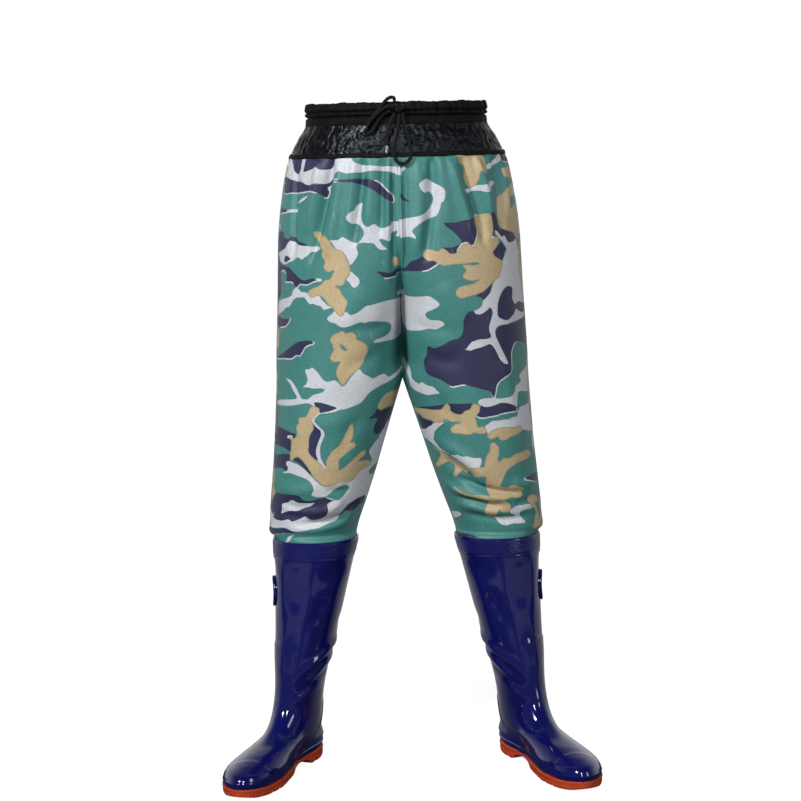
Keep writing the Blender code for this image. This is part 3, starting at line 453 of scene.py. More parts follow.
        (Ink.TAN, "514,183 511,184 507,187 505,187 504,191 501,195 501,200 500,206 498,211 497,216 "
         "498,222 500,226 505,229 509,231 513,233 515,236 518,240 518,228 517.5,214 516.5,202 514,204 "
         "511,208 509,206 508,199 510,197 515,194 516,190"),
        (Ink.TAN, "478,217 480,214.5 483,213 487,213.5 490,215.5 492,220 493,226 493,232 491,238 489,241 "
         "493,238.5 496,237 499,238 499,242 496,248 493,252 495,256 499,259 503,262 502,267 500,275 498,277 "
         "493,282.5 488,287.5 483,291.5 477,294.5 471,296 466,297.5 461,298 457,296.5 455.5,293 456.5,290 "
         "459,287 463,286 470,284.5 476,282 481,278.5 476,280 470,280.5 465,279 462.5,277 464,274 466,270 "
         "462.5,266.5 466,265 473,265 479,264 477,262.5 465,263.5 455,264 448,265.5 443,265.5 438,263.5 "
         "434,261 428,261 424,257.5 422.5,255 424,251.5 428,249.5 434,250 438,251 440,249 443,248.5 446,250 "
         "450,253.5 454,254 457,252 460,248 462,245 465,243.5 468,243.5 471,245 473,247 475,244 477,238 "
         "478,231 477,225 476.5,221"),
        (Ink.TAN, "413,407 420,408 428,409 437,410 441,409.5 443,406.5 446,404 449,405 450,408 450,411 "
         "455,413.5 461,414 465,411 470,409 472,405 475,404 479,405.5 480,409 479,412.5 476,416 475.5,419 "
         "477,424 477.5,427 482,426.5 486,428 487,431 484,433.5 479,433.5 474,432.5 471,434.5 466,435 "
         "460,433.5 453,433 450.5,431 451,428 455,424.5 460,423.5 460,421.5 455,422.5 450,422 446,419.5 "
         "443,420.5 440,423 436,423 430,420 424,418 420,415 416,411"),
        (Ink.TAN, "520,425.5 522,429 521,432.5 516,435 510,437 506,439.5 501,440 498,437 494,438.5 490,439 "
         "487,436.5 488,434 491,431 495,429 500,427.5 507,426.5 514,427"),
        (Ink.TAN, "490,448 490,445 493,442 496,443.5 499,448 499,454 498,459 499,462 504,458.5 "
         "510,457.5 516,454 522,451.5 527,449.5 530,451.5 531,454 527,458 521,461 515,464 510,468 "
         "506,472 504,477 502,482 500,486 504,487 508,486.5 513,485 519,486.5 522,487 524,489 522,491.5 "
         "522.5,494.5 520,497.5 517,498 510,498 503,499.5 496,498 491,496 487.5,492 485.5,487 486,481 "
         "485.5,476.5 480,476.5 475,477.5 472,473.5 470,471 466.5,473.5 464,474 462.5,471 459,472.5 "
         "457,476 454.5,477 453,474 454,470 453,466.5 450,464 447,461.5 443,464 438,466.5 436,464 "
         "438,460 440,456 440,452 436,449 431,445 437,448.5 443,452 449,456 456,459.5 462,463.5 "
         "468,466.5 474,467.5 479,466.5 484,466.5 485,461 487,455 490,451.5"),
        (Ink.TAN, "455,485.5 460,488 466,491.5 473,493 480,494 486,494.5 492,497 499,499.5 505,501 509,503 "
         "511,506 510.5,510 507,512.5 502,511.5 499,509 497,513 494,516.5 490,517.5 486,515 485,511 486,507 "
         "488,504 487,500.5 481,499.5 475,498 468,495 461,491 456,487.5"),
        (Ink.TAN, "528,500 529,496 533,494.5 537,496 537,501 535,503 537,508 539,516 540,525 535,527.5 "
         "532,528 534,523 535,517 536,511 533,507 530,503"),
    ],
}

# Where a pale line runs along the edge of the navy, and of the tan, in the photograph's pixels.
NAVY_TRIM: dict[Side, list[str]] = {
    Side.RIGHT: [
        "377,181 384,187 390,193 394,199 395,206", "285,193 299,192", "300,193.5 311,193 317,192",
        "325,188 330,183.5 337,181.5", "323.5,198 327,194 327,190", "281,214 288,212 294,210",
        "279,276 283,272 286,271", "286,283 289,282 293,282", "297,288 300,285 305,285 311,283 316,281 "
                                                              "321,281",
        "280,329 284,327 287,326 291,320", "277,360 290,359 296,356", "300,356 303,351 307,346 312,344 "
                                                                      "316,344",
        "386,279 391,279 396,276",
    ],
    Side.LEFT: [
        "501,164 507,161", "424,271 431,268 437,263", "515,342 512,352 511,364 510,371 503,378 498,383 "
                                                      "494,397",
        "452,387 458,386 464,385", "477,418 488,417 496,415 504,413 512,411 517,410", "525,480 536,481",
    ],
}
TAN_TRIM: dict[Side, list[str]] = {
    Side.RIGHT: ["288,437 291,437", "379,406 383,399 387,395"],
    Side.LEFT: ["479,215 476.5,222 478,230 477,238 474,246", "459,250 462,245 466,243", "488,241 493,238"],
}


@dataclass(frozen=True)
class Crease:
    """A soft ridge or trough along a line on a surface, in millimetres.

    On the trousers a place is out from the middle and up, on the front or the back. On a boot it is the
    turn in degrees from the heel round by the outside, and up.
    """

    line: tuple[tuple[float, float], ...]
    width: float
    lift: float
    back: bool = False


LEG_CREASES: dict[Side, tuple[Crease, ...]] = {
    Side.RIGHT: (
        Crease(((-97, 958), (-110, 895), (-125, 838), (-136, 790)), 7, -10.5),
        Crease(((-114, 958), (-128, 895), (-142, 838)), 9, 7.0),
        Crease(((-82, 958), (-92, 895), (-104, 838), (-112, 800)), 10, 6.2),
        Crease(((-50, 958), (-57, 900), (-65, 850), (-72, 815)), 6.5, -8.6),
        Crease(((-66, 955), (-72, 895), (-80, 840)), 7, 3.6),
        Crease(((-38, 958), (-43, 895), (-46, 835)), 8, 4.0),
        Crease(((-22, 958), (-25, 890), (-28, 830)), 6, -7.4),
        Crease(((-15, 950), (-16, 885), (-17, 820)), 5, 4.6),
        Crease(((-7, 955), (-8, 885), (-9, 830), (-11, 750)), 4.5, -8.0),
        Crease(((-156, 950), (-160, 895), (-164, 840), (-166, 790)), 8, -8.0),
        Crease(((-60, 760), (-75, 720), (-95, 690)), 18, 3.0),
        Crease(((-20, 700), (-45, 690), (-80, 695)), 10, -2.8),
        Crease(((-28, 660), (-60, 640), (-90, 636)), 12, -2.6),
        Crease(((-150, 560), (-120, 545), (-80, 560)), 14, 2.4),
        Crease(((-60, 560), (-85, 530), (-98, 490)), 12, -2.4),
        Crease(((-70, 424), (-86, 408), (-100, 398), (-132, 390), (-172, 387)), 5.0, -6.4),
        Crease(((-78, 400), (-100, 386), (-140, 379), (-190, 380)), 6.5, 3.8),
        Crease(((-95, 424), (-120, 410), (-152, 404)), 8, 4.0),
        Crease(((-190, 420), (-165, 414), (-140, 420)), 5.5, -3.4),
        Crease(((-198, 404), (-175, 400), (-150, 398)), 5.5, -3.0),
        Crease(((-198, 448), (-170, 440), (-130, 446)), 10, 3.0),
        Crease(((-84, 448), (-100, 440), (-125, 440)), 7, -3.0),
        Crease(((-60, 900), (-66, 850), (-70, 800)), 14, 2.4, True),
        Crease(((-95, 930), (-100, 870), (-104, 800)), 12, -2.6, True),
        Crease(((-128, 930), (-130, 870), (-132, 800)), 12, 2.4, True),
        Crease(((-20, 690), (-60, 672), (-120, 690)), 11, -4.0, True),
        Crease(((-25, 660), (-70, 642), (-140, 655)), 13, 3.6, True),
        Crease(((-60, 560), (-110, 548), (-170, 562)), 10, -3.2, True),
        Crease(((-70, 530), (-120, 520), (-175, 530)), 12, 2.8, True),
        Crease(((-80, 432), (-130, 420), (-195, 430)), 7, -3.6, True),
        Crease(((-80, 412), (-140, 402), (-205, 408)), 8, 3.2, True),
        Crease(((-85, 390), (-140, 384), (-205, 392)), 6, -3.0, True),
    ),
    Side.LEFT: (
        Crease(((12, 955), (11, 860), (10, 760)), 4, -5.8),
        Crease(((30, 955), (32, 890), (28, 830), (22, 790)), 9, 4.6),
        Crease(((50, 958), (52, 892), (46, 844), (38, 790)), 7, -9.6),
        Crease(((66, 955), (72, 890), (74, 840)), 9, 3.4),
        Crease(((78, 958), (90, 905), (103, 860), (112, 820)), 8, 6.6),
        Crease(((95, 958), (106, 918), (115, 888), (125, 850), (132, 815)), 7, -11.0),
        Crease(((119, 955), (131, 915), (137, 886), (144, 850)), 8, 6.2),
        Crease(((146, 958), (154, 915), (157, 880), (160, 830)), 6.5, -8.6),
        Crease(((163, 950), (167, 900), (170, 850)), 7, 4.0),
        Crease(((60, 760), (78, 725), (100, 695)), 18, 3.0),
        Crease(((18, 700), (45, 688), (80, 690)), 10, -2.8),
        Crease(((28, 655), (60, 640), (92, 640)), 12, -2.6),
        Crease(((150, 640), (165, 600), (170, 560)), 14, 2.4),
        Crease(((46, 590), (70, 556), (98, 530)), 12, -2.6),
        Crease(((50, 515), (90, 490), (115, 465), (128, 440)), 11, 5.2),
        Crease(((58, 486), (85, 468), (112, 450)), 8, -5.0),
        Crease(((76, 457), (104, 446), (130, 437), (157, 431), (186, 430)), 5.0, -7.2),
        Crease(((56, 448), (84, 434), (112, 428), (140, 423), (168, 423)), 7.5, 6.2),
        Crease(((78, 424), (105, 419), (128, 413), (152, 412)), 5.5, -5.6),
        Crease(((76, 412), (104, 408), (134, 402), (162, 402)), 7, 4.0),
        Crease(((84, 396), (120, 392), (160, 388), (200, 392)), 5.5, -3.6),
        Crease(((205, 446), (186, 440), (165, 446)), 8, 3.2),
        Crease(((206, 420), (190, 416), (170, 412)), 5.5, -3.4),
        Crease(((60, 900), (64, 850), (68, 800)), 14, 2.4, True),
        Crease(((92, 930), (98, 870), (104, 800)), 12, -2.6, True),
        Crease(((126, 930), (130, 870), (134, 800)), 12, 2.4, True),
        Crease(((20, 700), (70, 680), (130, 700)), 11, -4.0, True),
        Crease(((25, 668), (75, 650), (140, 664)), 13, 3.6, True),
        Crease(((60, 552), (110, 540), (170, 556)), 10, -3.2, True),
        Crease(((70, 522), (120, 512), (175, 524)), 12, 2.8, True),
        Crease(((80, 436), (130, 424), (195, 432)), 7, -3.6, True),
        Crease(((80, 415), (140, 404), (205, 412)), 8, 3.2, True),
        Crease(((85, 392), (140, 386), (205, 390)), 6, -3.0, True),
    ),
}
BOOT_CREASES = (
    Crease(((304, 198), (278, 191), (248, 176), (216, 156), (200, 138)), 6.5, 4.4),
    Crease(((304, 184), (278, 178), (250, 163), (222, 146)), 5.5, -4.4),
    Crease(((304, 172), (280, 165), (252, 150), (218, 132)), 7.0, 2.6),
    Crease(((284, 154), (258, 144), (230, 131), (206, 117)), 8.0, -2.0),
    Crease(((275, 136), (245, 126), (214, 111), (200, 101)), 9.0, 1.4),
    Crease(((262, 318), (236, 306), (214, 290)), 16.0, -2.4),
    Crease(((240, 268), (222, 248), (228, 226)), 9.0, -2.2),
    Crease(((214, 292), (204, 262), (210, 232)), 10.0, 1.4),
    Crease(((330, 226), (300, 222), (276, 232)), 10.0, -1.6),
    Crease(((112, 332), (118, 292), (124, 250)), 12.0, -2.6),
    Crease(((146, 336), (152, 290), (160, 236)), 12.0, 1.8),
    Crease(((178, 322), (180, 284), (184, 246)), 11.0, -1.6),
    Crease(((60, 250), (30, 238), (0, 240), (330, 236)), 12.0, -2.2),
    Crease(((70, 216), (30, 206), (0, 210), (320, 214)), 12.0, 2.0),
    Crease(((60, 150), (25, 138), (0, 136), (335, 140), (300, 152)), 7.0, -1.8),
    Crease(((150, 104), (180, 98), (214, 104)), 6.0, -0.9),
    Crease(((140, 86), (180, 80), (224, 88)), 7.0, 0.7),
)


def end_round(along: np.ndarray) -> np.ndarray:
    """Rounding of the foot's outline towards heel and toe."""
    return np.sqrt(np.maximum(0.0, 1 - np.abs(2 * along - 1) ** END_ROUNDING))


def smooth_step(value: np.ndarray, low: float, high: float) -> np.ndarray:
    """Rises softly from 0 at low to 1 at high."""
    t = np.clip((value - low) / (high - low), 0.0, 1.0)
    return t * t * (3 - 2 * t)


def ripple(angle: np.ndarray, waves: Sequence[tuple[int, float]]) -> np.ndarray:
    """A sum of waves round a ring.

    Args:
        angle: Angle round the ring.
        waves: Count round the ring and starting phase of each wave.

    Returns:
        The mean of the waves, between -1 and 1.
    """
    return sum(np.sin(count * angle + phase) for count, phase in waves) / len(waves)


class BootForm:
    """The moulded boot on the +X side, as a surface of height and turn round the foot."""

    base = float(BOOT.key[0])
    flat = float(BOOT.key[FOOT_FLAT_ROW])
    widest = float(FOOT.columns["half_width"].max())
    search_turns = 201

    @staticmethod
    def place(height: np.ndarray, reach: np.ndarray, out: np.ndarray) -> np.ndarray:
        """A place by the boot: reach runs along the foot from the heel, out across it to the outside."""
        x = HEEL_OUT + reach * math.sin(TOE_OUT) + out * math.cos(TOE_OUT) - SHAFT_LEAN * height
        y = HEEL_BACK - reach * math.cos(TOE_OUT) + out * math.sin(TOE_OUT)
        return np.stack(np.broadcast_arrays(x, y, height), axis=-1).astype(float)

    def surface(self, height: np.ndarray, turn: np.ndarray) -> np.ndarray:
        """Points of the outside.

        Args:
            height: Height above the floor.
            turn: 0 at the heel, by the outside, 0.5 at the toe, to 1.

        Returns:
            Points with a last axis of three.
        """
        height, turn = np.broadcast_arrays(np.asarray(height, float), np.mod(turn, 1.0))
        along = (1 - np.cos(2 * math.pi * turn)) / 2
        foot = BOOT.at("foot", height)
        oval = 2 * np.sqrt(np.maximum(0.0, along * (1 - along)))
        plan = FOOT.at("half_width", along) * end_round(along) / self.widest
        side = np.where(turn <= 0.5, 1.0, -1.0)
        out = foot * FOOT.at("centre_out", along)
        out = out + side * BOOT.at("half_width", height) * (foot * plan + (1 - foot) * oval)
        back = BOOT.at("back", height)
        reach = back + along * (BOOT.at("front", height) - back)
        follow = np.maximum(0.0, (self.flat - height) / (self.flat - self.base))
        points = self.place(height, reach, out)
        points[..., 2] += (SOLE.at("top", reach / SOLE_LENGTH) - self.base + GAP) * follow
        return points

    def offset(self, height: np.ndarray, turn: np.ndarray, proud: np.ndarray | float) -> np.ndarray:
        """Points that stand proud of the outside."""
        step = 0.002
        up = self.surface(height + step, turn) - self.surface(height - step, turn)
        around = self.surface(height, turn + step) - self.surface(height, turn - step)
        normal = np.cross(up, around)
        normal /= np.linalg.norm(normal, axis=-1, keepdims=True)
        return self.surface(height, turn) + normal * np.asarray(proud)[..., None]

    def outside_turn(self, height: float) -> float:
        """The turn at which the shaft reaches furthest out to the side."""
        turns = np.linspace(0.0, 0.5, self.search_turns)
        return float(turns[np.argmax(self.surface(np.full_like(turns, height), turns)[:, 0])])


class LegForm:
    """Half of the trousers on the +X side, as a surface of height and share round the leg."""

    tuck_depth = 0.018
    tuck_clearance = 0.0010
    tuck_rise = 0.0018
    tuck_taper = 0.13
    valley_rounding = 0.120
    fold_depth = 0.042
    fold_width = 0.0065
    dip_depth = 0.021
    dip_width = 0.026
    fold_top = 0.830
    fold_top_fade = 0.13
    fold_foot = 0.640
    front_fade = 0.03
    names = "height centre_out half_width centre_back half_depth"

    def __init__(self, boot: BootForm) -> None:
        """Adds the two rows that are tucked into the boot to the body's own rows."""
        heights = (BOOT_HEIGHT + self.tuck_rise, BOOT_HEIGHT - self.tuck_depth)
        tucked = [self.tucked(boot, height) for height in heights]
        self.sections = Table(self.names, BODY_ROWS + tucked)

    def tucked(self, boot: BootForm, height: float) -> tuple[float, ...]:
        """A row of the leg inside the boot top, clear of the boot's wall."""
        depth = max(0.0, BOOT_HEIGHT - height)
        radius = float(BOOT.at("half_width", BOOT_HEIGHT)) - BOOT_WALL - self.tuck_clearance
        radius -= depth * self.tuck_taper
        middle = (BOOT.at("back", height) + BOOT.at("front", height)) / 2
        x, y, _ = boot.place(np.array(height), middle, np.array(0.0))
        return (height, float(x), radius, float(y) - BODY_BACK, radius)

    def start(self, height: np.ndarray) -> np.ndarray:
        """Angle at which the leg's ellipse meets the middle of the body."""
        ratio = self.sections.at("centre_out", height) / self.sections.at("half_width", height)
        return np.arccos(np.minimum(1.0, ratio))

    def surface(self, height: np.ndarray, share: np.ndarray) -> np.ndarray:
        """Points of the outside: share runs from the inner front, by the outside, to the inner back."""
        height, share = np.broadcast_arrays(np.asarray(height, float), np.asarray(share, float))
        centre, wide = self.sections.at("centre_out", height), self.sections.at("half_width", height)
        deep = self.sections.at("half_depth", height)
        start = self.start(height)
        angle = start + share * 2 * (math.pi - start)
        x = centre - wide * np.cos(angle)
        y = -deep * np.sin(angle)
        ratio = np.minimum(1.0, centre / wide)
        width = np.maximum(self.valley_rounding * ratio * (1 - ratio * ratio), 1e-9)
        across = (centre + x) / wide
        other = deep * np.sqrt(np.maximum(0.0, 1 - across * across))
        overlap = np.maximum(0.0, width - np.abs(np.abs(y) - other)) / width
        y = y + np.sign(y) * overlap * overlap * width / 4
        return np.stack((x, BODY_BACK + self.sections.at("centre_back", height) + y, height), axis=-1)

    def sink(self, points: np.ndarray) -> np.ndarray:
        """Points with the front drawn in along the middle, where the cloth folds between the thighs."""
        height = points[..., 2]
        middle = BODY_BACK + self.sections.at("centre_back", height)
        across = points[..., 0]
        deep = self.fold_depth * np.exp(-((across / self.fold_width) ** 2))
        deep = deep + self.dip_depth * np.exp(-((across / self.dip_width) ** 2))
        deep = deep * smooth_step(self.fold_top - height, 0.0, self.fold_top_fade)
        deep = deep * smooth_step(height, FORK_HEIGHT, self.fold_foot)
        sunk = points.copy()
        sunk[..., 1] += deep * smooth_step(middle - points[..., 1], 0.0, self.front_fade)
        return sunk

    def share_at(self, height: np.ndarray, out: np.ndarray, back: bool = False) -> np.ndarray:
        """The share at which the front, or the back, lies that far out from the middle."""
        centre, wide = self.sections.at("centre_out", height), self.sections.at("half_width", height)
        angle = np.arccos(np.clip((centre - np.abs(out)) / wide, -1.0, 1.0))
        start = self.start(height)
        share = np.clip((angle - start) / (2 * (math.pi - start)), 0.0, 0.5)
        return 1 - share if back else share


@dataclass(frozen=True)
class PhotoCamera:
    """The camera at the photograph's place, and where it sees a point."""

    distance: float = 3.5
    height: float = 0.98
    aim: float = 0.568
    across: float = -0.004
    roll: float = math.radians(-1.4)
    lens: float = 100.19
    sensor: float = 36.0
    pixels: int = 801

    @property
    def location(self) -> Vector:
        """Where the camera stands."""
        return Vector((self.across, BODY_BACK - self.distance, self.height))

    @property
    def axes(self) -> np.ndarray:
        """Right, up and backward as rows."""
        tilt = math.atan2(self.height - self.aim, self.distance)
        forward = np.array((0.0, math.cos(tilt), -math.sin(tilt)))
        level = np.array((1.0, 0.0, 0.0))
        upright = np.array((0.0, math.sin(tilt), math.cos(tilt)))
        right = math.cos(self.roll) * level + math.sin(self.roll) * upright
        up = math.cos(self.roll) * upright - math.sin(self.roll) * level
        return np.stack((right, up, -forward))

    def pixel(self, points: np.ndarray) -> np.ndarray:
        """Pixels at which points are seen, x to the right and y down."""
        seen = (points - np.array(self.location)) @ self.axes.T
        scale = self.lens / self.sensor * self.pixels / -seen[..., 2]
        right = self.pixels / 2 + seen[..., 0] * scale
        down = self.pixels / 2 - seen[..., 1] * scale
        return np.stack((right, down), axis=-1)

    def build(self) -> None:
        """Makes the scene's camera."""
        data = bpy.data.cameras.new("photo_camera")
        data.lens = self.lens
        data.sensor_width = self.sensor
        camera = bpy.data.objects.new("photo_camera", data)
        turn = Matrix(self.axes.T.tolist()).to_4x4()
        camera.matrix_world = Matrix.Translation(self.location) @ turn
        bpy.context.scene.collection.objects.link(camera)
        bpy.context.scene.camera = camera


def sheet_normals(points: np.ndarray) -> np.ndarray:
    """Unit normals of a grid of points, facing away from the grid's upright middle line."""
    along = np.gradient(points, axis=1)
    up = np.gradient(points, axis=0)
    normals = np.cross(along, up)
    normals /= np.maximum(np.linalg.norm(normals, axis=-1, keepdims=True), 1e-12)
    outward = points - points.mean(axis=(0, 1))
    outward[..., 2] = 0.0
    return normals if (normals * outward).sum() > 0 else -normals


def smooth_line(corners: np.ndarray, step: float, closed: bool = False) -> np.ndarray:
    """A smooth curve through corners.

    Args:
        corners: The points that the curve goes through.
        step: Rough distance between the points that it gives back.
        closed: Whether the last corner joins the first.

    Returns:
        Points along the curve. A closed one doesn't repeat its first point.
    """
    corners = np.asarray(corners, float)
    if closed:
        padded = np.concatenate((corners[-1:], corners, corners[:2]))
    else:
        padded = np.concatenate((2 * corners[:1] - corners[1:2], corners, 2 * corners[-1:] - corners[-2:-1]))
    line = []
    for a, b, c, d in zip(padded, padded[1:], padded[2:], padded[3:]):
        t = np.arange(max(1, round(np.linalg.norm(c - b) / step)))[:, None]
        t = t / len(t)
        cubic = (2 * a - 5 * b + 4 * c - d) * t**2 + (3 * b - a - 3 * c + d) * t**3
        line.append(0.5 * (2 * b + (c - a) * t + cubic))
    if not closed:
        line.append(corners[-1:])
    return np.concatenate(line)


def crease_lift(points: np.ndarray, line: np.ndarray, width: float, lift: float) -> np.ndarray:
    """How far a crease lifts each point of a surface, fading to nothing at the line's ends.

    Args:
        points: Points of the surface.
        line: Points along the crease, on the surface.
        width: Half width at which the crease has faded to about a third.
        lift: Height of the ridge, or depth of the trough below zero.

    Returns:
        The lift of each point.
    """
    flat = points.reshape(-1, 3)
    reach = CREASE_REACH * width
    inside = np.all((flat > line.min(axis=0) - reach) & (flat < line.max(axis=0) + reach), axis=1)
    near = flat[inside]
    total = np.zeros(len(flat))
    if len(near):
        apart = np.linalg.norm(near[:, None, :] - line[None, :, :], axis=2)
        closest = apart.argmin(axis=1)
        share = closest / (len(line) - 1)
        fade = np.minimum(1.0, CREASE_FADE * share * (1 - share) + CREASE_END_SHARE)
        total[inside] = lift * fade * np.exp(-((apart.min(axis=1) / width) ** 2))
    return total.reshape(points.shape[:-1])


def start_piece() -> None:
    """Leaves edit mode and deselects everything before a primitive is added."""
    if bpy.context.object and bpy.context.object.mode != "OBJECT":
        bpy.ops.object.mode_set(mode="OBJECT")
    bpy.ops.object.select_all(action="DESELECT")


def grid_piece(name: str, points: np.ndarray) -> bpy.types.Object:
    """A sheet from the grid primitive, its vertices moved to rows and columns of points."""
    rows, columns = points.shape[:2]
    start_piece()
    bpy.ops.mesh.primitive_grid_add(x_subdivisions=columns - 1, y_subdivisions=rows - 1, size=1.0)
    piece = bpy.context.object
    piece.name = name
    piece.data.name = name
    piece.data.vertices.foreach_set("co", points.astype(np.float32).ravel())
    piece.data.update()
    return piece


def flip_faces() -> None:
    """Turns the faces of the piece at hand the other way."""
    bpy.ops.object.mode_set(mode="EDIT")
    bpy.ops.mesh.select_all(action="SELECT")
    bpy.ops.mesh.flip_normals()
    bpy.ops.object.mode_set(mode="OBJECT")


def close_sheet(piece: bpy.types.Object, outward: bool = True) -> None:
    """Merges the edges of a sheet that meet and turns its faces outwards.

    Args:
        piece: The sheet.
        outward: Whether the faces are checked against the sheet's own upright middle line.
    """
    bpy.ops.object.mode_set(mode="EDIT")
    bpy.ops.mesh.select_all(action="SELECT")
    bpy.ops.mesh.remove_doubles(threshold=MERGE_DISTANCE)
    bpy.ops.mesh.normals_make_consistent(inside=False)
    bpy.ops.object.mode_set(mode="OBJECT")
    if not outward:
        return
    count = len(piece.data.polygons)
    centres, normals = np.zeros(count * 3), np.zeros(count * 3)
    piece.data.polygons.foreach_get("center", centres)
    piece.data.polygons.foreach_get("normal", normals)
    away = centres.reshape(-1, 3) - centres.reshape(-1, 3).mean(axis=0)
    if (away[:, :2] * normals.reshape(-1, 3)[:, :2]).sum() < 0:
        flip_faces()


def add_wall(piece: bpy.types.Object, thickness: float) -> None:
    """Gives a sheet its wall, inwards from its outside."""
    wall = piece.modifiers.new("wall", "SOLIDIFY")
    wall.thickness = thickness
    wall.offset = -1.0
    wall.use_even_offset = False
    bpy.ops.object.modifier_apply(modifier=wall.name)


def finish_piece(
    piece: bpy.types.Object,
    material: bpy.types.Material,
    nodes: Sequence[str],
    sharp: float = 40.0,
) -> bpy.types.Object:
    """Shades a piece, gives it its material and joins it to the frame.

    Args:
        piece: The piece, at the origin.
        material: Its material.
        nodes: The solids that it stands for.
        sharp: Angle in degrees above which an edge stays sharp.

    Returns:
        The same piece.
    """
    bpy.ops.object.shade_smooth_by_angle(angle=math.radians(sharp))
    piece.data.materials.clear()
    piece.data.materials.append(material)
    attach(piece, BODY_NAME)
    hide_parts(*nodes)
    LOG.info("%s: %d faces", piece.name, len(piece.data.polygons))
    return piece


def set_attribute(piece: bpy.types.Object, name: str, values: np.ndarray) -> None:
    """Stores one number for each vertex under a name that a material reads."""
    attribute = piece.data.attributes.new(name, "FLOAT", "POINT")
    attribute.data.foreach_set("value", values.astype(np.float32).ravel())


